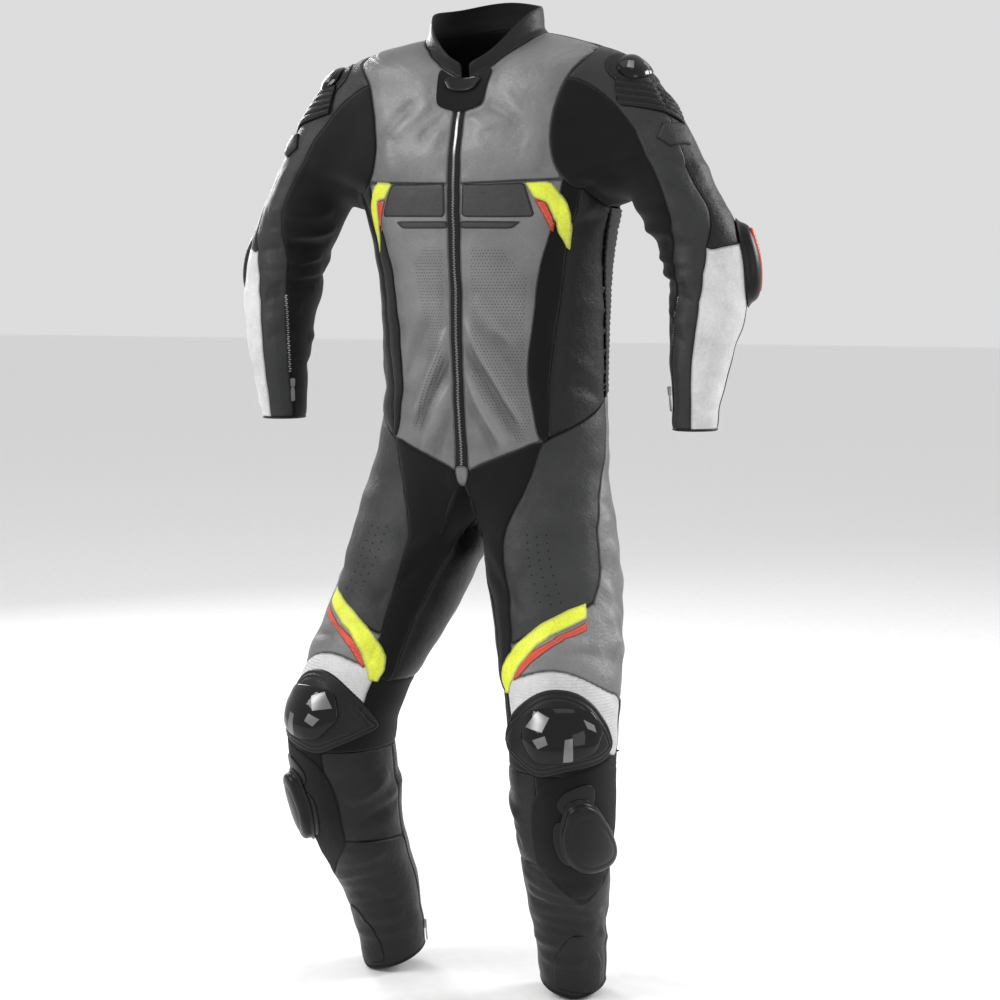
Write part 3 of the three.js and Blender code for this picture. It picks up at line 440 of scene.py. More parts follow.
def ring(table, level):
    """The ring at a level, on a smooth curve through the table's rows, one column each."""
    level = np.clip(np.asarray(level, float), table[0, 0], table[-1, 0])
    keys = table[:, 0]
    i = np.clip(np.searchsorted(keys, level) - 1, 0, len(keys) - 2)

    def slope(j):
        low, high = np.maximum(j - 1, 0), np.minimum(j + 1, len(keys) - 1)
        return (table[high] - table[low]) / (keys[high] - keys[low])[..., None]

    gap = keys[i + 1] - keys[i]
    s = ((level - keys[i]) / gap)[..., None]
    gap = gap[..., None]
    curve = (
        (2 * s**3 - 3 * s**2 + 1) * table[i]
        + (s**3 - 2 * s**2 + s) * gap * slope(i)
        + (3 * s**2 - 2 * s**3) * table[i + 1]
        + (s**3 - s**2) * gap * slope(i + 1)
    )
    return np.moveaxis(curve, -1, 0)


# %% Places on the three tubes
def body_place(angle, level):
    _, half, front, back, middle, square, drop = ring(BODY_RINGS, level)
    c, s = np.cos(np.radians(angle)), np.sin(np.radians(angle))
    depth = np.where(c > 0, front, back)
    radius = (np.abs(c / depth) ** square + np.abs(s / half) ** square) ** (-1 / square)
    return np.stack([radius * s, middle - radius * c, level - np.where(c > 0, drop, 0) * c * c], -1)


def leg_place(angle, level):
    _, x, y, across, fore, turned = ring(LEG_RINGS, level)
    c, s = np.cos(np.radians(angle)) * fore, np.sin(np.radians(angle)) * across
    t = np.radians(turned)
    return np.stack([x + c * np.sin(t) + s * np.cos(t), y - c * np.cos(t) + s * np.sin(t), level + 0 * x], -1)


def arm_place(angle, level):
    _, x, y, across, fore, lean = ring(ARM_RINGS, level)
    c, s = np.cos(np.radians(angle)) * fore, np.sin(np.radians(angle)) * across
    t = np.radians(lean)
    return np.stack([x + s * np.cos(t), y - c, level + s * np.sin(t)], -1)


def body_address(p):
    level = p[:, 2].copy()
    for _ in range(3):
        _, half, front, back, middle, square, drop = ring(BODY_RINGS, level)
        angle = np.arctan2(p[:, 0], middle - p[:, 1])
        level = p[:, 2] + np.where(np.cos(angle) > 0, drop, 0) * np.cos(angle) ** 2
    return np.degrees(angle), level


def leg_address(p):
    _, x, y, across, fore, turned = ring(LEG_RINGS, p[:, 2])
    t = np.radians(turned)
    dx, dy = p[:, 0] - x, p[:, 1] - y
    c, s = dx * np.sin(t) - dy * np.cos(t), dx * np.cos(t) + dy * np.sin(t)
    return np.degrees(np.arctan2(s / across, c / fore)), p[:, 2].copy()


def arm_address(p):
    level = p[:, 2].copy()
    for _ in range(5):
        _, x, y, across, fore, lean = ring(ARM_RINGS, level)
        t = np.radians(lean)
        side = (p[:, 0] - x) / np.cos(t)
        level = p[:, 2] - side * np.sin(t)
    return np.degrees(np.arctan2(side / across, (y - p[:, 1]) / fore)), level


TUBES = {
    # tube: place, address, mean radius, levels where the round rings rule alone
    "body": (body_place, body_address, 150.0, None),
    "leg": (leg_place, leg_address, 84.0, (655.0, 610.0)),
    "arm": (arm_place, arm_address, 58.0, (1205.0, 1170.0)),
}
MIDDLES = {
    # tube: its middle line, in the tables' mm, from the top down
    "body": [(0, -45, 1350), (0, -36, 1300), (0, -20, 1145), (0, -8, 990), (0, -9, 800)],
    "arm": [(150, -45, 1325), (230, -45, 1300), (262, -44, 1290), (295, -55, 1220), (337, -50, 1140),
            (354, -53, 1060), (351, -68, 980), (343, -70, 850)],
    "leg": [(70, -15, 870), (100, -45, 780), (112, -64, 700), (126, -76, 620), (151, -118, 540),
            (175, -163, 460), (183, -182, 380), (179, -168, 300), (166, -122, 180), (155, -77, 60),
            (153, -62, -20)],
}
check = body_place(*body_address(body_place(np.array([20.0]), np.array([1000.0]))))
print("address error mm", float(np.abs(check - body_place(20.0, 1000.0)).max()))


# %% [markdown]
# Folds decide whether leather looks like leather. Each is a soft ridge or trough between
# two addresses, listed one by one: strong diagonals on the belly, creases behind the knees
# and in the elbows, and shallower ones where the photograph hides the suit.

# %% Fold tables
BODY_FOLDS = [
    # from degrees, level, to degrees, level, half width mm, height mm
    (4, 1030, 38, 866, 8, 6.0), (4, 990, 37, 846, 8, -6.5), (4, 948, 30, 834, 7, 5.0),
    (3, 912, 24, 822, 6, -4.0), (20, 1010, 41, 920, 8, -3.0), (10, 1060, 34, 985, 10, 2.2),
    (-4, 1012, -30, 878, 8, 5.0), (-4, 972, -32, 856, 7, -6.5), (-3, 930, -27, 834, 7, 5.0),
    (-3, 895, -21, 812, 6, -3.6), (-16, 1040, -38, 940, 9, -2.6), (-12, 880, -30, 822, 6, 3.0),
    (8, 1372, 26, 1320, 10, 2.0), (20, 1390, 44, 1310, 9, -1.8), (34, 1400, 50, 1300, 8, 2.2),
    (14, 1330, 22, 1262, 12, 1.4), (48, 1310, 40, 1242, 8, 2.0), (52, 1290, 47, 1232, 6, -2.0),
    (-10, 1370, -26, 1300, 9, -1.6), (-24, 1392, -42, 1300, 10, 2.0), (-36, 1380, -50, 1290, 8, -2.0),
    (-46, 1300, -40, 1240, 8, 1.6), (-12, 1330, -20, 1262, 12, 1.3), (30, 1216, 36, 1180, 9, 1.2),
    (-28, 1216, -34, 1180, 9, 1.2), (54, 1170, 76, 1196, 8, 2.0), (56, 1150, 80, 1170, 7, -2.0),
    (64, 960, 90, 925, 10, 1.8), (62, 930, 86, 900, 8, -1.8), (-64, 960, -90, 925, 10, 1.8),
    (-62, 925, -84, 900, 8, -1.6), (130, 1350, 170, 1372, 12, 2.0), (-130, 1352, -168, 1368, 12, -1.8),
    (140, 1010, 220, 1002, 10, 2.0), (142, 978, 216, 970, 9, -2.4), (128, 950, 176, 940, 8, 2.0),
    (186, 942, 232, 952, 8, 2.0), (135, 1200, 150, 1130, 14, 1.6), (-135, 1200, -150, 1130, 14, 1.6),
    (150, 1300, 154, 1230, 16, -1.4), (-152, 1300, -156, 1226, 16, -1.4),
]
LEG_FOLDS = [
    (-50, 705, -10, 650, 12, 3.0), (120, 480, 230, 455, 10, -5.0), (115, 445, 235, 425, 10, -5.5),
    (125, 410, 225, 395, 9, -4.0), (-100, 340, -40, 300, 10, 3.5), (-110, 290, -50, 262, 9, -3.0),
    (-60, 190, 30, 160, 9, 3.0), (-40, 140, 50, 128, 8, -2.5), (-70, 100, 10, 92, 8, 2.5),
    (110, 200, 220, 185, 10, 3.0), (60, 560, 130, 520, 12, 3.0),
    (58, 640, 96, 560, 8, 2.6), (66, 620, 104, 540, 7, -3.0), (80, 700, 100, 610, 9, 2.4),
    (86, 760, 104, 690, 9, -2.2), (60, 600, 84, 530, 6, 2.0), (72, 545, 98, 500, 6, -2.4),
    (-10, 572, 34, 560, 7, 1.6), (6, 548, 48, 540, 6, -1.8), (96, 650, 140, 590, 10, 2.0),
    (128, 500, 232, 492, 7, 3.0), (130, 432, 226, 440, 6, 3.2), (132, 372, 220, 360, 8, 2.6),
    (-80, 240, 20, 206, 7, -2.6), (-72, 214, 36, 180, 6, 2.2), (-60, 170, 44, 146, 6, -2.6),
    (-66, 128, 30, 112, 6, -2.0), (-60, 70, 40, 62, 7, 1.8), (60, 150, 110, 110, 8, -2.0),
    (64, 112, 120, 80, 8, 2.0), (120, 260, 200, 240, 9, 2.0), (140, 150, 230, 130, 8, -2.2),
    (-150, 330, -90, 300, 9, 2.2), (-46, 660, -20, 590, 9, -1.8), (-150, 700, -110, 650, 12, 2.0),
]
ARM_FOLDS = [
    (-90, 1165, 20, 1120, 9, -3.5), (-95, 1110, 10, 1085, 9, 3.5), (-80, 1075, 0, 1050, 8, -3.0),
    (-70, 1215, 30, 1175, 10, 3.0), (180, 1010, 270, 985, 8, 2.5), (160, 960, 265, 940, 8, -2.5),
    (-92, 1192, 10, 1150, 6, 3.0), (-86, 1140, 4, 1104, 5, 3.0), (-90, 1092, -6, 1068, 5, -2.6),
    (-66, 1040, -4, 1018, 7, 2.4), (-60, 1006, -10, 990, 6, -1.8), (20, 1010, 90, 985, 8, 1.4),
    (24, 950, 92, 935, 8, -1.4), (10, 900, 80, 893, 6, 1.2), (200, 1160, 262, 1120, 9, 2.4),
    (205, 1110, 262, 1090, 8, -2.6), (-72, 1260, 8, 1230, 10, -2.2), (-78, 1290, -10, 1262, 9, 2.0),
    (60, 1230, 110, 1214, 10, 1.4), (70, 1170, 120, 1160, 9, -1.2),
]
FOLDS = {"body": BODY_FOLDS, "leg": LEG_FOLDS, "arm": ARM_FOLDS}


def fold_height(rows, angle, level, around):
    per_degree = math.radians(around)
    total = np.zeros_like(level)
    for u0, v0, u1, v1, wide, high in rows:
        near = (angle - (u0 + u1) / 2 + 180) % 360 - 180 + (u0 + u1) / 2
        ax, ay = (u1 - u0) * per_degree, v1 - v0
        px, py = (near - u0) * per_degree, level - v0
        t = np.clip((px * ax + py * ay) / (ax * ax + ay * ay), 0, 1)
        bow = 3.0 * np.sin(math.pi * t) * math.copysign(1, high)
        away = np.hypot(px - ax * t + bow * 0.4, py - ay * t + bow) / wide
        total += 1.45 * high * np.exp(-(away**2)) * (1 - (2 * t - 1) ** 4)
    return total


rng = np.random.default_rng(7)
RIPPLES = [(rng.normal(size=3) * size, rng.uniform(0, 6.28), depth)
           for size, depth in [(0.010, 0.9), (0.010, 0.9), (0.018, 0.8), (0.018, 0.8), (0.030, 0.6),
                               (0.030, 0.6), (0.055, 0.4), (0.055, 0.4), (0.085, 0.22), (0.085, 0.22)]]


def ripple(points):
    """Shallow unevenness of hanging leather, in mm, from a few slow waves in space."""
    return sum(np.sin(points @ wave + phase) * depth for wave, phase, depth in RIPPLES)


print("folds", {name: len(rows) for name, rows in FOLDS.items()})

# %% [markdown]
# All the panels share their seams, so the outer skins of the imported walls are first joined
# into one net. Subdividing that net at once keeps every seam closed and every curve fair.
# Afterwards it is cut into the panels again.

# %% The panels and their finishes
PANELS = {
    # panel: tube, finish, the record's slot, seen from the front
    "yoke": ("body", "grey_leather", "greyLeather", True),
    "belly": ("body", "belly_leather", "greyLeather", True),
    "side_front": ("body", "black_stretch", "blackStretch", True),
    "side": ("body", "black_leather", "blackLeather", False),
    "side_accordion": ("body", "accordion_cloth", "blackStretch", False),
    "back": ("body", "black_leather", "blackLeather", False),
    "collar": ("body", "black_leather", "blackLeather", True),
    "throat_flap": ("body", "black_stretch", "blackStretch", True),
    "front_zip": ("body", "zip_tape", "hardBlack", True),
    "shoulder_panel": ("arm", "black_leather", "blackLeather", True),
    "arm_band": ("arm", "band_leather", "thighLeather", True),
    "arm_inner": ("arm", "black_stretch", "blackStretch", True),
    "forearm_white": ("arm", "white_leather", "whiteLeather", True),
    "crotch_stretch": ("leg", "black_stretch", "blackStretch", True),
    "thigh": ("leg", "thigh_leather", "thighLeather", True),
    "outer_thigh": ("leg", "grey_leather", "greyLeather", True),
    "seat": ("leg", "black_leather", "blackLeather", False),
    "knee_band": ("leg", "white_ribs", "whiteLeather", True),
    "knee_panel": ("leg", "black_stretch", "blackStretch", True),
    "shin": ("leg", "black_leather", "blackLeather", True),
    "hook_panel": ("leg", "hook_cloth", "hook", True),
    "lower_leg": ("leg", "black_leather", "blackLeather", True),
    "calf": ("leg", "black_ribs", "blackLeather", False),
}
stem_of = {name: name.removesuffix("_l").removesuffix("_r") for name in nodes}
panel_names = sorted(name for name in nodes if stem_of[name] in PANELS)


# %% Which skin is the outer one
def middle_point(p, tube, side):
    """The nearest point on the middle line of the body or of one sleeve or leg."""
    points = (np.array(MIDDLES[tube], float) * (side, 1, 1) + TABLE_ZERO) / 1000
    a, d = points[:-1], np.diff(points, axis=0)
    t = np.clip(((p - a) * d).sum(1) / (d * d).sum(1), 0, 1)
    q = a + d * t[:, None]
    return q[np.linalg.norm(q - p, axis=1).argmin()]


def outer_faces(name):
    """Corner places of the faces that form the outside of a panel's wall."""
    tube, side = PANELS[stem_of[name]][0], -1 if name.endswith("_r") else 1
    node = nodes[name]
    part = bmesh.new()
    part.from_mesh(node.data)
    bmesh.ops.remove_doubles(part, verts=part.verts, dist=1e-5)
    rims = [f for f in part.faces if any(0.001 < e.calc_length() < 0.0028 for e in f.edges)]
    bmesh.ops.delete(part, geom=rims, context="FACES")
    part.faces.ensure_lookup_table()
    kept, seen = [], set()
    for start in part.faces:
        if start in seen:
            continue
        group, queue = [], [start]
        seen.add(start)
        while queue:
            face = queue.pop()
            group.append(face)
            for edge in face.edges:
                for other in edge.link_faces:
                    if other not in seen:
                        seen.add(other)
                        queue.append(other)
        score = 0.0
        for face in group:
            centre = np.array(face.calc_center_median())
            score += float(np.dot(face.normal, centre - middle_point(centre, tube, side))) * face.calc_area()
        if score > 0:
            kept += [[tuple(v.co) for v in face.verts] for face in group]
    part.free()
    return kept


# %% One net of all the panels
def join_panels():
    net = bmesh.new()
    for index, name in enumerate(panel_names):
        for corners in outer_faces(name):
            net.faces.new([net.verts.new(c) for c in corners]).material_index = index
    bmesh.ops.remove_doubles(net, verts=net.verts, dist=1e-5)
    bmesh.ops.remove_doubles(net, verts=[v for v in net.verts if v.is_boundary], dist=1e-3)
    open_edges = sum(1 for e in net.edges if e.is_boundary)
    triangles = len(net.faces)
    bmesh.ops.join_triangles(
        net, faces=net.faces, cmp_materials=True,
        angle_face_threshold=math.radians(60), angle_shape_threshold=math.radians(120),
    )
    print("net", triangles, "triangles,", len(net.faces), "faces,", open_edges, "open edges")
    mesh = bpy.data.meshes.new("net")
    net.to_mesh(mesh)
    net.free()
    return mesh


def smooth_net(mesh, levels):
    """Vertex places in the frame, quads and their panel numbers after subdividing."""
    holder = bpy.data.objects.new("net", mesh.copy())
    bpy.context.scene.collection.objects.link(holder)
    for name in panel_names:
        holder.data.materials.append(None)
    subdivide = holder.modifiers.new("subdivide", "SUBSURF")
    subdivide.levels = subdivide.render_levels = levels
    made = holder.evaluated_get(bpy.context.evaluated_depsgraph_get()).to_mesh()
    places = np.empty(len(made.vertices) * 3)
    made.vertices.foreach_get("co", places)
    quads = np.empty(len(made.polygons) * 4, np.int64)
    made.polygons.foreach_get("vertices", quads)
    panels = np.empty(len(made.polygons), np.int64)
    made.polygons.foreach_get("material_index", panels)
    bpy.data.objects.remove(holder)
    return places.reshape(-1, 3), quads.reshape(-1, 4), panels


net_mesh = join_panels()
nets = {levels: smooth_net(net_mesh, levels) for levels in (2, 3)}
print("quads", {levels: len(net[1]) for levels, net in nets.items()})


# %% [markdown]
# Each point of the net now gets its height: folds and ripples, a padded swell between the
# seams, and a groove on them. Under the hard cups the leather lies flat.
# Sleeves and lower legs are first laid exactly on their round rings.

# %% Heights over the net
FLAT_SPOTS = [
    # tube, degrees, level, radius in mm
    ("leg", 7, 440, 88), ("leg", 34, 284, 88), ("arm", 112, 1096, 58), ("arm", 60, 1270, 46),
    ("body", 0, 1436, 50), ("body", 0, 789, 24),
]
SWELL = {
    # panel: how far its middle stands out, in mm
    "knee_band": 2.2, "thigh": 1.8, "yoke": 1.8, "belly": 1.6, "forearm_white": 1.6,
    "arm_band": 1.6, "outer_thigh": 1.6, "shoulder_panel": 1.8, "front_zip": -1.0, "throat_flap": 1.2,
}


def smooth(x, low, high):
    t = np.clip((x - low) / (high - low), 0, 1)
    return t * t * (3 - 2 * t)


def point_normals(places, quads):
    corners = places[quads]
    across = np.cross(corners[:, 2] - corners[:, 0], corners[:, 3] - corners[:, 1])
    total = np.zeros_like(places)
    for k in range(4):
        np.add.at(total, quads[:, k], across)
    return total / np.maximum(np.linalg.norm(total, axis=1, keepdims=True), 1e-12)


def draw_back(places, quads, limit):
    """Points that stand more than a limit off their neighbours' middle go back to it."""
    total, count = np.zeros_like(places), np.zeros(len(places))
    for k in range(4):
        for a, b in ((quads[:, k], quads[:, k - 1]), (quads[:, k - 1], quads[:, k])):
            np.add.at(total, a, places[b])
            np.add.at(count, a, 1)
    normals = point_normals(places, quads)
    off = ((places - total / np.maximum(count, 1)[:, None]) * normals).sum(1)
    off[np.abs(off) < limit] = 0
    print("drawn back", int((off != 0).sum()), "points")
    return places - normals * off[:, None]


def seam_samples(places, quads, panels):
    """Points along every seam and open edge, 1 mm apart or closer."""
    ends = np.concatenate([quads[:, [k, (k + 1) % 4]] for k in range(4)])
    owner = np.tile(panels, 4)
    key = np.sort(ends, axis=1)
    order = np.lexsort((key[:, 1], key[:, 0]))
    key, owner = key[order], owner[order]
    first = np.concatenate([[True], (key[1:] != key[:-1]).any(1)])
    last = np.concatenate([first[1:], [True]])
    lone = first & last
    pair = first[:-1] & ~last[:-1]
    different = np.concatenate([pair & (owner[1:] != owner[:-1]), [False]])
    edges = key[lone | different]
    steps = np.linspace(0, 1, 8, endpoint=False)[:, None, None]
    points = places[edges[:, 0]][None] * (1 - steps) + places[edges[:, 1]][None] * steps
    return points.reshape(-1, 3)


FURTHEST_MM = 2.5
GROOVE_MM = 1.3
RIB_PITCH_MM = 8.5
RIB_MM = 1.5


def dress(levels):
    """The net at one fineness, with every point raised to its height over the plain walls."""
    places, quads, panels = nets[levels]
    mm = places * 1000 - TABLE_ZERO
    count = len(mm)
    side = np.where(mm[:, 0] < 0, -1.0, 1.0)
    kinds = ["body", "arm", "leg"]
    kind_of_panel = np.array([kinds.index(PANELS[stem_of[n]][0]) for n in panel_names])
    kind = np.zeros(count, np.int64)
    panel_of_point = np.zeros(count, np.int64)
    panel_of_point[quads.reshape(-1)] = np.repeat(panels, 4)
    kind[quads.reshape(-1)] = np.repeat(kind_of_panel[panels], 4)
    angle, level = np.zeros(count), np.zeros(count)
    for k, name in enumerate(kinds):
        place, address, _, blend = TUBES[name]
        chosen = kind == k
        hand = np.ones((chosen.sum(), 3))
        if name != "body":
            hand[:, 0] = side[chosen]
        turned = mm[chosen] * hand
        u, v = address(turned)
        angle[chosen], level[chosen] = u, v
        if blend:
            weight = (1 - smooth(v, blend[1], blend[0]))[:, None]
            mm[chosen] = (turned * (1 - weight) + place(u, v) * weight) * hand
    normals = point_normals(mm, quads)
    samples = seam_samples(mm, quads, panels)
    tree = KDTree(len(samples))
    for k, p in enumerate(samples):
        tree.insert(p, k)
    tree.balance()
    seam = np.array([tree.find(p)[2] for p in mm])
    swell = np.array([SWELL.get(stem_of[n], 1.0) for n in panel_names])[panel_of_point]
    height = ripple(mm) + swell * smooth(seam, 2, 26) - GROOVE_MM * (1 - smooth(seam, 0, 5))
    for k, name in enumerate(kinds):
        chosen = kind == k
        rise = fold_height(FOLDS[name], angle[chosen], level[chosen], TUBES[name][2])
        height[chosen] += rise * (0.45 + 0.55 * smooth(seam[chosen], 0, 14))
    ribs = np.array([stem_of[n] == "side_accordion" for n in panel_names])[panel_of_point]
    stuffed = RIB_MM * np.abs(np.sin(math.pi * mm[:, 2] / RIB_PITCH_MM)) + 0.3 * height
    height = np.where(ribs, stuffed, height)
    for name, u, v, wide in FLAT_SPOTS:
        centre = TUBES[name][0](float(u), float(v)).reshape(3)
        for hand in (1, -1):
            away = np.linalg.norm(mm - centre * (hand, 1, 1), axis=1)
            height *= 0.12 + 0.88 * smooth(away, wide * 0.8, wide * 1.2)
    raised = draw_back(mm + normals * height[:, None], quads, FURTHEST_MM)
    return {
        "places": (raised + TABLE_ZERO) / 1000, "quads": quads, "panels": panels,
        "angle": angle, "level": level, "seam": seam, "mm": mm, "rise": height,
    }


dressed = {levels: dress(levels) for levels in (2, 3)}
print("points", {levels: len(net["places"]) for levels, net in dressed.items()})

# %% [markdown]
# Cutting the net again gives one object a panel, each with a map in metres for its weave,
# and a wall 1.6 mm thick whose inside is the dark lining.

# %% Cut the net into panels
PUNCHED_OUTLINES = [
    [(9.8, 1129), (26.6, 1129), (39.3, 1084), (37.7, 1009), (39.5, 928), (42.2, 876), (36.5, 839),
     (25.2, 876), (13.9, 913), (9.2, 935)],
    [(-7, 1129), (-19, 1130), (-26, 1108), (-23, 1052), (-18.5, 993), (-21.6, 926), (-33, 857),
     (-27, 857), (-11.3, 919), (-8.8, 964)],
]


def inside(outline, u, v):
    """Signed distance from an outline in mm: above 0 inside."""
    points = np.array(outline, float) * (2.6, 1)
    p = np.stack([u * 2.6, v], 1)
    best = np.full(len(u), 1e9)
    odd = np.zeros(len(u), bool)
    for a, b in zip(points, np.roll(points, -1, axis=0)):
        d = b - a
        t = np.clip(((p - a) @ d) / (d @ d), 0, 1)
        best = np.minimum(best, np.linalg.norm(p - a - t[:, None] * d, axis=1))
        cuts = (a[1] > p[:, 1]) != (b[1] > p[:, 1])
        cross = a[0] + (p[:, 1] - a[1]) / np.where(b[1] == a[1], 1e-9, b[1] - a[1]) * d[0]
        odd ^= cuts & (p[:, 0] < cross)
    return np.where(odd, best, -best)


WALL = 0.0016
LEAST_FILL = 0.31


def apply_modifiers(piece):
    bpy.context.view_layer.objects.active = piece
    for modifier in list(piece.modifiers):
        bpy.ops.object.modifier_apply(modifier=modifier.name)


def cloth_object(name, places, faces, flat_mm, numbers, finish, lining, thick):
    """A piece of cloth with its map in metres, its numbers at each point, and its wall."""
    mesh = bpy.data.meshes.new(name)
    mesh.vertices.add(len(places))
    mesh.vertices.foreach_set("co", places.reshape(-1))
    mesh.loops.add(faces.size)
    mesh.loops.foreach_set("vertex_index", faces.reshape(-1).astype(np.int32))
    mesh.polygons.add(len(faces))
    mesh.polygons.foreach_set("loop_start", np.arange(0, faces.size, faces.shape[1], dtype=np.int32))
    mesh.update(calc_edges=True)
    mesh.materials.append(finishes[finish])
    mesh.materials.append(finishes[lining])
    piece = bpy.data.objects.new(name, mesh)
    bpy.context.scene.collection.objects.link(piece)
    layer = mesh.uv_layers.new(name="cloth")
    layer.data.foreach_set("uv", (flat_mm / 1000)[faces.reshape(-1)].reshape(-1))
    for key, values in numbers.items():
        mesh.attributes.new(key, "FLOAT", "POINT").data.foreach_set("value", values)
    mesh.polygons.foreach_set("use_smooth", np.ones(len(faces), bool))
    wall = piece.modifiers.new("wall", "SOLIDIFY")
    wall.thickness, wall.offset, wall.material_offset = thick, -1, 1
    apply_modifiers(piece)
    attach(piece, "suit")
    return piece


def cut_panel(index, name):
    tube, finish, slot_name, front = PANELS[stem_of[name]]
    net = dressed[3 if front else 2]
    quads = net["quads"][net["panels"] == index]
    used, local = np.unique(quads, return_inverse=True)
    angle, level = net["angle"][used], net["level"][used]
    turn_to = np.degrees(np.arctan2(np.sin(np.radians(angle)).mean(), np.cos(np.radians(angle)).mean()))
    angle = (angle - turn_to + 180) % 360 - 180 + turn_to
    flat = np.stack([np.radians(angle) * TUBES[tube][2], level], 1)
    holes = np.zeros(len(used))
    if stem_of[name] == "belly":
        holes = np.maximum(*[smooth(inside(o, angle, level), -4, 4) for o in PUNCHED_OUTLINES])
    numbers = {"seam_mm": net["seam"][used], "rise_mm": net["rise"][used], "punched": holes}
    piece = cloth_object(f"{name}_cloth", net["places"][used], local.reshape(quads.shape), flat, numbers,
                         finish, "lining_cloth", WALL)
    corners = net["mm"][quads]
    across = np.cross(corners[:, 2] - corners[:, 0], corners[:, 3] - corners[:, 1])
    area = np.linalg.norm(across, axis=1).sum() / 2e6
    wide, long = np.ptp(flat, axis=0) / 1000
    wide = min(wide, area / (0.45 * long))
    grow = max(1.0, math.sqrt(1.02 * area / (wide * long)))
    wide, long = round(wide * grow, 3), round(long * grow, 3)
    area = round(max(area, LEAST_FILL * wide * long), 4)
    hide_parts(name)
    return wide, long, area


for index, name in enumerate(panel_names):
    wide, long, area = cut_panel(index, name)
    print(f"  {name}: flat {wide:.3f} by {long:.3f} m, {area:.4f} m2")

# %% [markdown]
# Sewn-on shapes are drawn flat, as on a pattern table: mm round the tube and mm up.
# One helper lays any flat point on the dressed surface, at a height along its normal.

# %% Laying flat shapes on the suit
skin = dressed[3]
skin_mm = skin["places"] * 1000 - TABLE_ZERO
skin_normals = point_normals(skin_mm, skin["quads"])
skin_tree = BVHTree.FromPolygons([Vector(p) for p in skin_mm], skin["quads"].tolist())


def lay(p, height):
    """The point at a height in mm over the surface nearest to p, in tables' mm."""
    spot, normal, face, _ = skin_tree.find_nearest(Vector(p))
    corners = skin["quads"][face]
    away = np.linalg.norm(skin_mm[corners] - np.array(spot), axis=1)
    weight = 1 / (away + 0.3) ** 2
    n = (skin_normals[corners] * weight[:, None]).sum(0)
    n /= np.linalg.norm(n)
    return np.array(spot) + n * height


def wrap(tube, side, flat, heights):
    """Flat points, (mm round, level), laid on one tube; side -1 mirrors it to the right."""
    place, _, around, _ = TUBES[tube]
    base = place(np.degrees(flat[:, 0] / around), flat[:, 1])
    if tube != "body":
        base = base * (side, 1, 1)
    return np.array([lay(p, h) for p, h in zip(base, heights)])


def flat_outline(tube, points, step=3.5, rounds=2, corner=0.25):
    """A closed outline in degrees and level, made mm, its corners eased, evenly spaced."""
    around = TUBES[tube][2]
    line = np.array([(math.radians(u) * around, v) for u, v in points], float)
    for _ in range(rounds):
        after = np.roll(line, -1, axis=0)
        ends = [line * (1 - corner) + after * corner, line * corner + after * (1 - corner)]
        line = np.stack(ends, 1).reshape(-1, 2)
    closed = np.vstack([line, line[:1]])
    length = np.concatenate([[0], np.cumsum(np.linalg.norm(np.diff(closed, axis=0), axis=1))])
    count = max(8, int(length[-1] / step))
    at = np.linspace(0, length[-1], count, endpoint=False)
    return np.stack([np.interp(at, length, closed[:, k]) for k in (0, 1)], 1)


def edge_distance(points, outline):
    best = np.full(len(points), 1e9)
    for a, b in zip(outline, np.roll(outline, -1, axis=0)):
        d = b - a
        t = np.clip(((points - a) @ d) / max(d @ d, 1e-9), 0, 1)
        best = np.minimum(best, np.linalg.norm(points - a - t[:, None] * d, axis=1))
    return best


def fill(outline, step):
    """Triangles over an outline, with rows of points inside it."""
    low, high = outline.min(0), outline.max(0)
    xs, ys = np.meshgrid(np.arange(low[0], high[0], step), np.arange(low[1], high[1], step * 0.87))
    xs = xs + (np.arange(len(xs)) % 2)[:, None] * step / 2
    grid = np.stack([xs.ravel(), ys.ravel()], 1)
    grid = grid[edge_distance(grid, outline) > step * 0.45]
    every = [Vector(p) for p in outline] + [Vector(p) for p in grid]
    rim = list(range(len(outline)))
    made = geometry.delaunay_2d_cdt(every, [(k, (k + 1) % len(rim)) for k in rim], [], 1, 1e-4)
    points, triangles = np.array([tuple(v) for v in made[0]]), np.array([t for t in made[2] if len(t) == 3])
    a, b, c = (points[triangles[:, k]] for k in range(3))
    area = (b[:, 0] - a[:, 0]) * (c[:, 1] - a[:, 1]) - (b[:, 1] - a[:, 1]) * (c[:, 0] - a[:, 0])
    triangles[area < 0] = triangles[area < 0][:, ::-1]
    return points, triangles[np.abs(area) > 1e-3]


# %% Patches
PATCH_WALL = 0.002
LEAST_SIZE = 0.0101


def sew_on(name, places, triangles, flat, near, finish):
    piece = cloth_object(name, places, triangles, flat, {"seam_mm": near}, finish, finish, PATCH_WALL)
    a, b, c = (places[triangles[:, k]] for k in range(3))
    area = np.linalg.norm(np.cross(b - a, c - a), axis=1).sum() / 2
    wide, long = np.ptp(flat, axis=0) / 1000
    wide, long = max(min(wide, area / (0.4 * long)), LEAST_SIZE), max(long, LEAST_SIZE)
    area = min(max(area, LEAST_FILL * wide * long), wide * long)
    return piece


def heights_from(rows, near):
    """Heights over the cloth at a distance from the edge, from rows of (distance, height)."""
    keys = np.array(rows, float)
    return np.interp(near, keys[:, 0], keys[:, 1])


def patch(name, tube, side, points, finish, rows, step=4.0, rounds=1, corner=0.25):
    """A piece sewn on one tube, drawn in degrees and levels; side -1 mirrors it."""
    outline = flat_outline(tube, points, step, rounds, corner)
    flat, triangles = fill(outline, step)
    near = edge_distance(flat, outline)
    places = (wrap(tube, side, flat, heights_from(rows, near)) + TABLE_ZERO) / 1000
    if side < 0 and tube != "body":
        triangles = triangles[:, ::-1]
    return sew_on(name, places, triangles, flat, near, finish)


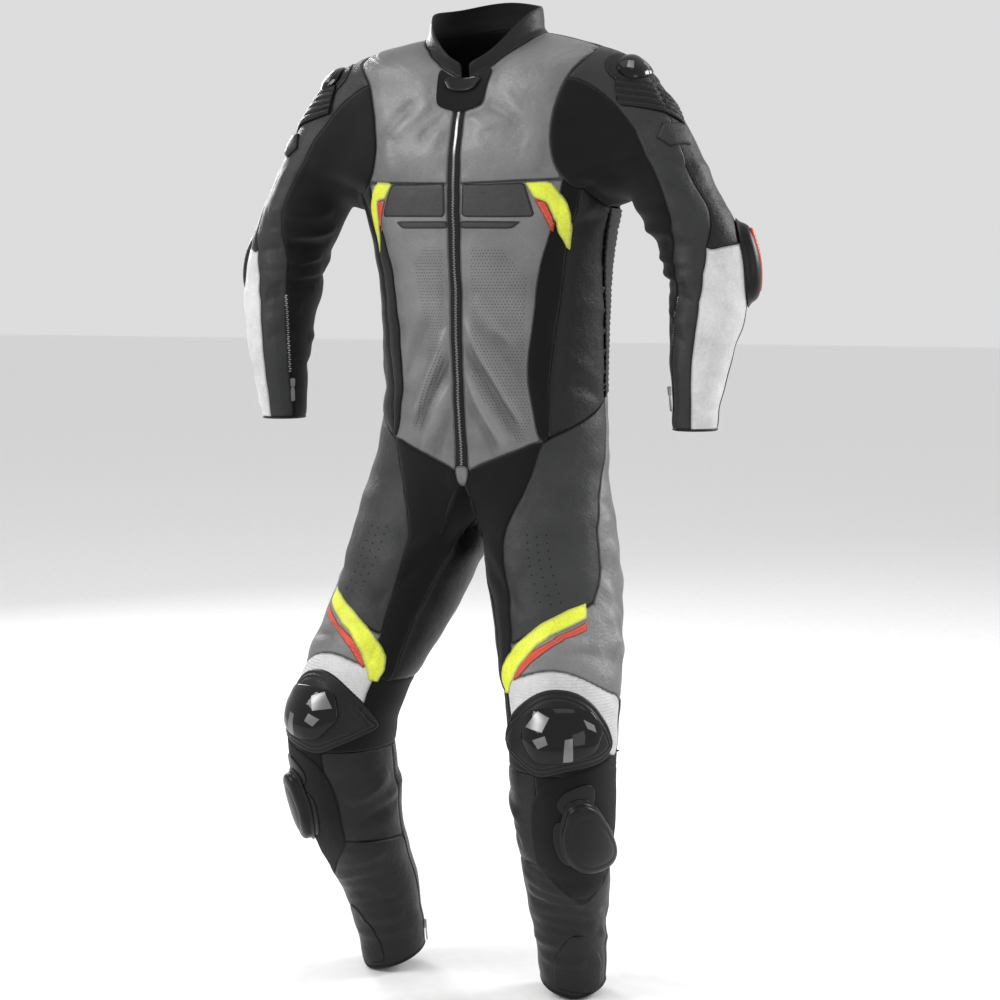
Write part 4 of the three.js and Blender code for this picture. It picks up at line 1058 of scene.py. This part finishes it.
CHEST = {
    "chest_band_l": [(6, 1226), (17, 1224), (28.9, 1224), (41.1, 1225), (45.2, 1173), (27.8, 1173),
                     (5.5, 1174)],
    "chest_band_r": [(-6, 1227), (-24, 1226), (-42.1, 1227), (-48.7, 1176), (-27, 1175), (-5.5, 1174)],
    "chest_tail_l": [(4.2, 1168), (38.6, 1167), (33.6, 1156), (4.1, 1157)],
    "chest_tail_r": [(-3.9, 1168), (-38.7, 1169), (-34, 1158), (-4.0, 1157)],
}
for name, points in CHEST.items():
    patch(name, "body", 1, points, "chest_leather", ((0, 0.7), (2.5, 1.3)), corner=0.08)
FLASHES = {
    "flash_yellow_l": ("yellow_leather", [(41.3, 1225), (52.6, 1226), (60, 1195), (63, 1160), (61.5, 1122),
                                          (56.5, 1148), (54.5, 1166), (50.8, 1194), (45, 1201)]),
    "flash_red_l": ("red_leather", [(45.2, 1199), (50.5, 1195), (54.5, 1165), (53.2, 1150), (49.6, 1172)]),
    "flash_yellow_r": ("yellow_leather", [(-53.5, 1229), (-42.1, 1227), (-46.2, 1203), (-52.3, 1200),
                                          (-53.8, 1176), (-58.0, 1120), (-61, 1150), (-60, 1190)]),
    "flash_red_r": ("red_leather", [(-52.3, 1199), (-46.2, 1202), (-50, 1176), (-53.8, 1151), (-54.0, 1176)]),
}
for name, (finish, points) in FLASHES.items():
    patch(name, "body", 1, points, finish, ((0, 0.8), (2.5, 1.5)), step=3.0, corner=0.1)
KNEE_YELLOW = [(37.4, 614), (20, 606), (-5, 587), (-30, 559), (-48, 533), (-55.7, 519), (-60.4, 501),
               (-60.4, 483), (-50, 486), (-42.7, 502), (-30, 527), (-10, 556), (12, 577), (34.8, 593)]
KNEE_RED = [(34.2, 588), (12, 572), (-16.7, 547), (-30, 529), (-38.4, 514), (-39.6, 503), (-30, 515),
            (-17.5, 533), (8, 560), (33.4, 576)]
SIDES = ((1, "l"), (-1, "r"))
for side, hand in SIDES:
    patch(f"knee_flash_yellow_{hand}", "leg", side, KNEE_YELLOW, "yellow_leather", ((0, 0.7), (2, 1.3)),
          step=2.6, corner=0.06)
    patch(f"knee_flash_red_{hand}", "leg", side, KNEE_RED, "red_leather", ((0, 0.5), (1.5, 0.8)),
          step=2.2, corner=0.06)


# %% [markdown]
# The shoulder, elbow and knee shells are moulded. Each starts as a disc whose rim takes
# the shell's outline. Its face is extruded and shrunk ring by ring, which builds the rounded
# edge, the border and the crown, and the flat shell is then bent onto the suit.
# Insets would do this too, but on a pointed outline they cross and turn into spikes.

# %% Moulded shells
def shell(name, tube, side, points, rings, finish, base=0.4, rounds=2, step=3.0, levels=1,
          spot=None, corner=0.25, node=None):
    """A moulded piece: each ring is (share of the outline, rise in mm), from rim to crown."""
    outline = flat_outline(tube, points, step, rounds, corner)
    middle = outline.mean(0)
    bpy.ops.mesh.primitive_circle_add(vertices=len(outline), radius=10, fill_type="NGON", location=(0, 0, 0))
    piece = bpy.context.object
    piece.name = name
    around = outline if polygon_area(outline) > 0 else outline[::-1]
    for vertex, at in zip(piece.data.vertices, around):
        vertex.co = (at[0] - middle[0], at[1] - middle[1], base)
    bpy.ops.object.mode_set(mode="EDIT")
    bpy.ops.mesh.select_all(action="SELECT")
    share = 1.0
    for wanted, rise in rings:
        bpy.ops.mesh.extrude_region_move(TRANSFORM_OT_translate={"value": (0, 0, rise)})
        bpy.ops.transform.resize(value=(wanted / share, wanted / share, 1), center_override=(0, 0, 0))
        share = wanted
    bpy.ops.mesh.poke()
    bpy.ops.object.mode_set(mode="OBJECT")
    if levels:
        round_off = piece.modifiers.new("round", "SUBSURF")
        round_off.levels = round_off.render_levels = levels
        apply_modifiers(piece)
    flat = np.array([tuple(v.co) for v in piece.data.vertices])
    layer = piece.data.uv_layers[0]
    layer.name = "cloth"
    corners = np.array([loop.vertex_index for loop in piece.data.loops])
    layer.data.foreach_set("uv", (flat[corners, :2] / 1000).reshape(-1))
    if spot is None:
        placed = wrap(tube, side, flat[:, :2] + middle, flat[:, 2])
    else:
        centre, first, second = spot
        placed = np.array([lay(centre + first * x + second * y, h) for x, y, h in flat])
    for vertex, at in zip(piece.data.vertices, (placed + TABLE_ZERO) / 1000):
        vertex.co = at
    if side < 0 and tube != "body":
        piece.data.flip_normals()
    piece.data.materials.clear()
    piece.data.materials.append(finishes[finish])
    piece.data.polygons.foreach_set("use_smooth", np.ones(len(piece.data.polygons), bool))
    piece.select_set(False)
    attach(piece, "suit")
    if node:
        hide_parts(node)


def polygon_area(outline):
    nxt = np.roll(outline, -1, axis=0)
    return float((outline[:, 0] * nxt[:, 1] - nxt[:, 0] * outline[:, 1]).sum() / 2)


def faceted(name, quads):
    """Black lacquer with silver facets; each facet is a flat convex shape in mm."""
    finish = Finish(name)
    x, y = (part * 1000.0 for part in finish.split(finish.cloth_place)[:2])
    silver = None
    for points in quads:
        mask = None
        for a, b in zip(points, points[1:] + points[:1]):
            length = math.hypot(b[0] - a[0], b[1] - a[1])
            nx, ny = (b[1] - a[1]) / length, -(b[0] - a[0]) / length
            inner = (x * nx + y * ny - (nx * a[0] + ny * a[1])).between(-0.15, 0.15)
            mask = inner if mask is None else mask * inner
        silver = mask if silver is None else silver.maths("MAXIMUM", silver, mask)
    smear = finish.noise(30.0, 4.0)
    finish.feed("Base Color", finish.blend(silver, grey(0.003), grey(0.2)))
    finish.feed("Metallic", silver * 0.9)
    finish.feed("Roughness", silver * 0.3 + smear * 0.05 + 0.04)
    finish.fixed(Coat_Roughness=0.03, Specular_IOR_Level=0.3)
    finishes[name] = finish.material


faceted("knee_lens", [
    [(-50, 8), (-30, 31), (-14, 22), (-24, 2)],
    [(-38, -8), (-20, -2), (-16, -12), (-30, -18)],
    [(4, -34), (6, -6), (16, -4), (18, -34)],
    [(30, 20), (46, 12), (50, 2), (36, 8)],
])
faceted("shoulder_lens", [[(-26, 0), (-12, 15), (-4, 6), (-16, -8)], [(6, -4), (16, 6), (22, -2), (12, -9)]])

# Outlines are (degrees round the leg, level in mm).
KNEE_LENS = [(-24.4, 469), (5.7, 474), (34, 470), (49.8, 440), (42.1, 414), (15, 402), (-9.3, 399),
             (-21.4, 402), (-38.5, 431)]
KNEE_FRAME = [(-81.2, 423), (-60, 450), (-36.3, 474), (-16.5, 492), (-0.9, 499), (12.6, 498),
              (25.6, 492), (40, 476), (48.6, 461), (62, 440), (71.8, 415), (57.6, 398), (34, 391),
              (11.2, 387), (-17.8, 374), (-41.9, 390), (-84.3, 412)]
PUCK = [(10.9, 330), (13, 342), (20.7, 350), (29, 353), (37.9, 351), (47, 343), (56.3, 329), (67, 307),
        (76.1, 284), (84, 264), (88, 246), (83, 231), (67, 223), (53, 221), (40.2, 221), (29, 226),
        (20.3, 235), (13, 249), (7.8, 266), (6, 282), (5.1, 299)]
PUCK_MIDDLE = (46.5, 287)
PUCK_SHARE = (0.90, 0.93)
PUCK_TURN = -7
LOOP = [(72, 404), (40, 390), (12, 382), (-10, 371), (-24, 350), (-31, 322), (-33, 290), (-30, 240),
        (-24, 222), (8, 184), (30, 158), (50, 180), (68, 210), (90, 250), (102, 300), (100, 350), (90, 390)]
WINGS = {
    "upper": [(2, 330), (1, 343), (6, 352), (14, 360), (24, 366), (36, 368), (44, 358), (40, 330), (24, 312),
              (14, 318)],
    "lower": [(-3, 306), (-4, 285), (-1, 262), (5, 246), (16, 238), (30, 250), (30, 300), (16, 312),
              (4, 312)],
}
# Rows are (distance from the edge, height), both in mm, and rings are (share, rise in mm).
FRAME_ROWS = ((0, 0.4), (1.8, 2.2), (4.4, 2.9), (6.2, 0.9), (8.0, 3.4), (10.4, 3.9), (12.4, 1.6),
              (14.4, 4.2), (18, 4.0), (40, 2.0))
LENS_RINGS = [(1.0, 4.6), (0.99, 0.8), (0.965, 0.5), (0.94, 0.35), (0.84, 1.5), (0.66, 1.8), (0.42, 1.2),
              (0.18, 0.4)]
WING_RINGS = [(1.0, 1.6), (0.97, 0.5), (0.9, 0.2), (0.6, 0.2), (0.25, 0.0)]
PUCK_RINGS = [(1.0, 2.2), (0.985, 0.8), (0.95, 0.5), (0.91, 1.0), (0.895, 3.6), (0.88, 3.4), (0.85, 2.4),
              (0.79, 1.8), (0.70, 0.9), (0.66, -0.7), (0.62, 0.0), (0.58, 0.8), (0.4, 0.4), (0.2, 0.1)]
puck_outline = [(PUCK_MIDDLE[0] + (u - PUCK_MIDDLE[0]) * PUCK_SHARE[0] + PUCK_TURN,
                 PUCK_MIDDLE[1] + (v - PUCK_MIDDLE[1]) * PUCK_SHARE[1]) for u, v in PUCK]
for side, hand in SIDES:
    patch(f"knee_frame_{hand}", "leg", side, KNEE_FRAME, "frame_black", FRAME_ROWS, step=2.0, rounds=2)
    shell(f"knee_lens_{hand}", "leg", side, KNEE_LENS, LENS_RINGS, "knee_lens", base=1.0,
          node=f"knee_cup_{hand}", corner=0.14)
    patch(f"loop_cloth_{hand}", "leg", side, LOOP, "hook_cloth", ((0, 0.7), (1.5, 1.3)), rounds=2)
    for tag, points in WINGS.items():
        shell(f"knee_wing_{tag}_{hand}", "leg", side, points, WING_RINGS, "puck_black",
              base=1.4, levels=0, rounds=1)
    shell(f"knee_puck_{hand}", "leg", side, puck_outline, PUCK_RINGS, "puck_black",
          base=2.4, node=f"knee_slider_{hand}")

# %% [markdown]
# Over each shoulder a leather collar with two stitched borders holds a small shell like
# the knee's. Below it lie five stuffed ribs that let the arm rise, and a quilted pad.

# %% Shoulders and elbows
def spot_at(point, forward, hand=1):
    """A flat frame on the skin next to a point: its centre, and its two directions."""
    spot, normal, _, _ = skin_tree.find_nearest(Vector(point))
    n = np.array(normal)
    first = np.array(forward, float)
    first -= n * first.dot(n)
    first /= np.linalg.norm(first)
    return np.array(spot), first, np.cross(n, first) * hand


def ellipse(wide, high, count=28, square=2.3, skew=0.0):
    t = np.linspace(0, 2 * math.pi, count, endpoint=False)
    x = np.sign(np.cos(t)) * np.abs(np.cos(t)) ** (2 / square) * wide
    y = np.sign(np.sin(t)) * np.abs(np.sin(t)) ** (2 / square) * high
    return np.stack([x + skew * y, y], 1)


def spot_patch(name, spot, outline, finish, rows, step=3.0, ribs=None):
    """A piece sewn on flat round one spot; ribs adds a height worked out from its points."""
    outline = np.array(outline, float)
    flat, triangles = fill(outline, step)
    near = edge_distance(flat, outline)
    height = heights_from(rows, near) + (ribs(flat) if ribs else 0)
    centre, first, second = spot
    placed = np.array([lay(centre + first * x + second * y, h) for (x, y), h in zip(flat, height)])
    places = (placed + TABLE_ZERO) / 1000
    a, b, c = (places[triangles[:, k]] for k in range(3))
    if np.cross(b - a, c - a).sum(0) @ np.cross(first, second) <= 0:
        triangles = triangles[:, ::-1]
    return sew_on(name, places, triangles, flat, near, finish)


def five_ribs(flat):
    return RIB_HIGH * np.abs(np.sin(math.pi * (flat[:, 1] + RIB_HALF) / RIB_STEP)) ** 0.8


def round_spot(angle, level, outline):
    """A flat outline in mm moved to a place on the sleeve, in degrees and levels."""
    return [(angle + math.degrees(x / TUBES["arm"][2]), level + y) for x, y in outline]


RIB_HIGH = 3.2
RIB_HALF = 26
RIB_STEP = 10.4
RIB_BLOCK = [(-48 + 8 * k, -RIB_HALF) for k in range(15)]
RIB_BLOCK += [(70, -RIB_HALF + 6.5 * k) for k in range(8)]
RIB_BLOCK += [(64 - 8 * k, RIB_HALF) for k in range(15)]
RIB_BLOCK += [(-50, 20 - 6.5 * k) for k in range(7)]
SHOULDER_ROWS = ((0, 0.5), (1.5, 1.6), (4.5, 2.2), (5.4, 1.2), (6.2, 1.2), (7.4, 2.4), (9.0, 2.4),
                 (10, 1.4), (11.0, 1.4), (12.5, 2.6), (40, 2.4))
ELBOW_RINGS = [(1.0, 2.0), (0.98, 1.0), (0.93, 0.6), (0.86, 3.0), (0.8, 5.0), (0.7, 4.0), (0.5, 2.0),
               (0.25, 0.6)]
ELBOW = round_spot(112, 1096, ellipse(36, 54, 26, 2.4))
ELBOW_STRIPE = round_spot(108, 1098, ellipse(9, 36, 20, 2.6, -0.15))
for side, hand in SIDES:
    box = np.array(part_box(f"shoulder_cup_{hand}")) * 1000 - TABLE_ZERO
    cup = spot_at(box.mean(0), (0, -side, 0))
    spot_patch(f"shoulder_frame_{hand}", cup, ellipse(52, 40, 44, 2.5), "black_leather", SHOULDER_ROWS)
    shell(f"shoulder_lens_{hand}", "arm", 1, round_spot(0, 0, ellipse(34, 22, 30, 2.6)), LENS_RINGS,
          "shoulder_lens", base=0.8, spot=cup, node=f"shoulder_cup_{hand}", rounds=0)
    block = spot_at((side * 268, -84, 1343), (side * 56, 26, -6), side)
    spot_patch(f"shoulder_ribs_{hand}", block, RIB_BLOCK, "black_leather", ((0, 0.5), (3, 1.0)),
               step=2.4, ribs=five_ribs)
    pad = spot_at((side * 312, -84, 1288), (side * 0.5, 0.75, 0.1), side)
    spot_patch(f"arm_pad_{hand}", pad, ellipse(38, 22, 6, 2.0), "band_leather",
               ((0, 0.6), (5, 4.0), (30, 5.0)))
    shell(f"elbow_shell_{hand}", "arm", side, ELBOW, ELBOW_RINGS, "puck_black", node=f"elbow_cup_{hand}")
    shell(f"elbow_slider_{hand}", "arm", side, ELBOW_STRIPE, [(1.0, 5.0), (0.9, 1.2), (0.6, 0.4)],
          "slider_red", base=13.0)
print("shoulder and elbow pieces made")

# %% [markdown]
# The badge on the throat flap stays a plain glossy hexagon, and a leather guard covers
# the foot of the zip.

# %% Badge and guard
def on_front(level, outline):
    """A flat outline in mm moved to the middle of the front, in degrees and levels."""
    return [(math.degrees(x / TUBES["body"][2]), level + y) for x, y in outline]


BADGE = on_front(1436, ((-46, 0), (-34, 12), (34, 12), (46, 0), (31, -14), (-31, -14)))
BADGE_RINGS = [(1.0, 3.0), (0.97, 0.8), (0.86, 0.3), (0.83, -0.7), (0.5, 0.0), (0.2, 0.0)]
shell("throat_badge_plate", "body", 1, BADGE, BADGE_RINGS, "lens_black", base=0.8, node="throat_badge",
      rounds=1, corner=0.12, step=2.5)
GUARD = on_front(789, ((-14, 10), (-9, 17), (9, 17), (14, 10), (10, -10), (0, -18), (-10, -10)))
GUARD_ROWS = ((0, 1.2), (1.2, 2.2), (3, 2.6), (3.8, 2.0), (5, 2.8))
guard = patch("zip_guard_leather", "body", 1, GUARD, "grey_leather", GUARD_ROWS, step=2.0)
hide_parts("zip_guard")
print("badge and guard made")

# %% [markdown]
# A small block of larger air holes sits low on each thigh, and zip teeth run down the front.

# %% Air holes and zip teeth
def scattered(name, spots, make, finish):
    """Many small copies in one mesh: make gives the points and faces of one at a spot."""
    points, faces = [], []
    for spot in spots:
        new_points, new_faces = make(spot)
        faces += [[k + len(points) for k in face] for face in new_faces]
        points += new_points
    mesh = bpy.data.meshes.new(name)
    mesh.from_pydata([tuple((np.array(p) + TABLE_ZERO) / 1000) for p in points], [], faces)
    mesh.materials.append(finishes[finish])
    piece = bpy.data.objects.new(name, mesh)
    bpy.context.scene.collection.objects.link(piece)
    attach(piece, "suit")


def surface_frame(tube, side, angle, level):
    """A place on the dressed surface and the direction that points out of it there."""
    flat = np.array([[math.radians(angle) * TUBES[tube][2], level]])
    base = wrap(tube, side, flat, [0.0])[0]
    out = wrap(tube, side, flat, [1.0])[0] - base
    return base, out / np.linalg.norm(out)


HOLE_SIDES = 10
HOLE_MM = 1.3


def hole(spot):
    base, out = spot
    first = np.cross(out, (0, 0.2, 1.0))
    first /= np.linalg.norm(first)
    second = np.cross(out, first)
    turn = [2 * math.pi * k / HOLE_SIDES for k in range(HOLE_SIDES)]
    rim = [(first * math.cos(t) + second * math.sin(t)) * HOLE_MM for t in turn]
    points = [base + r - out * 0.6 for r in rim] + [base + r + out * 0.25 for r in rim]
    after = [(k + 1) % HOLE_SIDES for k in range(HOLE_SIDES)]
    faces = [[k, n, HOLE_SIDES + n, HOLE_SIDES + k] for k, n in enumerate(after)]
    return points, faces + [list(range(HOLE_SIDES, 2 * HOLE_SIDES)), list(range(HOLE_SIDES))[::-1]]


for side, hand in SIDES:
    dots = [surface_frame("leg", side, -2 + 8.6 * column, 716 - 12.5 * row - 3 * (column % 2))
            for column in range(3) for row in range(9)]
    scattered(f"thigh_holes_{hand}", dots, hole, "zip_tape")


def tooth(spot):
    base, out, side_way = spot
    up = np.cross(out, side_way)
    square = ((-1.7, -0.7), (1.7, -0.7), (1.7, 0.7), (-1.7, 0.7))
    points = [base + side_way * x + up * y + out * z for z in (-0.4, 1.0) for x, y in square]
    return points, [[3, 2, 1, 0], [4, 5, 6, 7], [0, 1, 5, 4], [1, 2, 6, 5], [2, 3, 7, 6], [3, 0, 4, 7]]


def teeth(name, tube, side, line, pitch=2.6):
    """Teeth every pitch mm along a line of (degrees, level), left and right by turns."""
    spots = []
    for (u0, v0), (u1, v1) in zip(line, line[1:]):
        count = max(1, int(math.hypot(math.radians(u1 - u0) * TUBES[tube][2], v1 - v0) / pitch))
        spots += [(u0 + (u1 - u0) * k / count, v0 + (v1 - v0) * k / count) for k in range(count)]
    rows = []
    for k, (u, v) in enumerate(spots):
        base, out = surface_frame(tube, side, u, v)
        before, after = spots[max(k - 1, 0)], spots[min(k + 1, len(spots) - 1)]
        ahead = surface_frame(tube, side, *after)[0] - surface_frame(tube, side, *before)[0]
        across = np.cross(ahead / np.linalg.norm(ahead), out)
        rows.append((base + across * (0.5 if k % 2 else -0.5), out, across))
    scattered(name, rows, tooth, "zip_metal")


teeth("front_zip_teeth", "body", 1, [(0, level) for level in (808, 900, 1000, 1100, 1200, 1300, 1385)])
print("holes and teeth made")

# %% [markdown]
# Every open end is bound with a narrow strip of leather, rolled over the cut edge.
# The bindings follow the dressed net's own rim, so they can't drift off the cloth.

# %% Bindings, zips and small inserts
def rims_of(net, wanted):
    """Closed lines of rim points, for the open ends whose mean place is wanted."""
    ends = np.concatenate([net["quads"][:, [k, (k + 1) % 4]] for k in range(4)])
    key, count = np.unique(np.sort(ends, axis=1), axis=0, return_counts=True)
    links = {}
    for a, b in key[count == 1]:
        links.setdefault(int(a), []).append(int(b))
        links.setdefault(int(b), []).append(int(a))
    seen, loops = set(), []
    for start in links:
        if start in seen:
            continue
        line, here = [], start
        while here is not None and here not in seen:
            seen.add(here)
            line.append(here)
            here = next((n for n in links[here] if n not in seen), None)
        places = net["places"][line] * 1000 - TABLE_ZERO
        if len(line) > 30 and wanted(places):
            loops.append(places)
    return loops


BINDING_SIDES = 8


def binding(name, line, radius):
    """A round strip of black leather along a closed line of places in mm."""
    for _ in range(3):
        line = (np.roll(line, 1, axis=0) + 2 * line + np.roll(line, -1, axis=0)) / 4
    ahead = np.roll(line, -1, axis=0) - np.roll(line, 1, axis=0)
    ahead /= np.linalg.norm(ahead, axis=1, keepdims=True)
    up = np.cross(ahead, line - line.mean(0))
    up /= np.linalg.norm(up, axis=1, keepdims=True)
    across = np.cross(up, ahead)
    turn = np.linspace(0, 2 * math.pi, BINDING_SIDES, endpoint=False)[None, :, None]
    rings = line[:, None] + radius * (up[:, None] * np.cos(turn) + across[:, None] * np.sin(turn))
    count, faces = len(line), []
    for k in range(count):
        here, there = k * BINDING_SIDES, (k + 1) % count * BINDING_SIDES
        for t in range(BINDING_SIDES):
            m = (t + 1) % BINDING_SIDES
            faces.append([here + t, there + t, there + m, here + m])
    mesh = bpy.data.meshes.new(name)
    mesh.from_pydata([tuple(p) for p in (rings.reshape(-1, 3) + TABLE_ZERO) / 1000], [], faces)
    mesh.materials.append(finishes["black_leather"])
    mesh.polygons.foreach_set("use_smooth", np.ones(len(faces), bool))
    piece = bpy.data.objects.new(name, mesh)
    bpy.context.scene.collection.objects.link(piece)
    bpy.ops.object.select_all(action="DESELECT")
    bpy.context.view_layer.objects.active = piece
    piece.select_set(True)
    bpy.ops.object.mode_set(mode="EDIT")
    bpy.ops.mesh.select_all(action="SELECT")
    bpy.ops.mesh.normals_make_consistent(inside=False)
    bpy.ops.object.mode_set(mode="OBJECT")
    piece.select_set(False)
    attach(piece, "suit")


ENDS = {
    # end: which rims are it, and the binding's radius in mm
    "cuff": (lambda p: p[:, 2].max() < 885 and abs(p[:, 0].mean()) > 280, 1.9),
    "hem": (lambda p: p[:, 2].max() < 90, 1.9),
    "collar": (lambda p: p[:, 2].mean() > 1440 and abs(p[:, 0].mean()) < 30 and len(p) > 60, 2.2),
}
for name, (wanted, radius) in ENDS.items():
    for k, line in enumerate(rims_of(skin, wanted)):
        binding(f"{name}_binding_{k}", line, radius)
        print("  binding", name, len(line), line.mean(0).round())
ARCH = [(-14.2, 66), (-2, 92), (10, 106), (22.8, 111), (36, 106), (52, 90), (68.5, 64), (70, 30), (70, 4),
        (40, 8), (0, 14), (-18, 18), (-18, 40)]
for side, hand in SIDES:
    patch(f"ankle_arch_{hand}", "leg", side, ARCH, "black_leather", ((0, 0.5), (2, 1.6), (5, 1.4), (30, 0.8)))
    teeth(f"cuff_zip_teeth_{hand}", "arm", side, [(-36.1, 1059), (-44.9, 1001), (-52, 934)], pitch=3.4)
    teeth(f"ankle_zip_teeth_{hand}", "leg", side, [(-118, 230), (-119, 150), (-120, 80)], pitch=3.4)
print("bindings and zips made")

# %% [markdown]
# The imported frame's own parts take a finish: sliders and pulls zip metal, the rest black frame leather.

# %% Finish for the frame's parts
for name, node in nodes.items():
    shown = "zip_metal" if "slider" in name or "pull" in name else "frame_black"
    node.data.materials.clear()
    node.data.materials.append(finishes[shown])
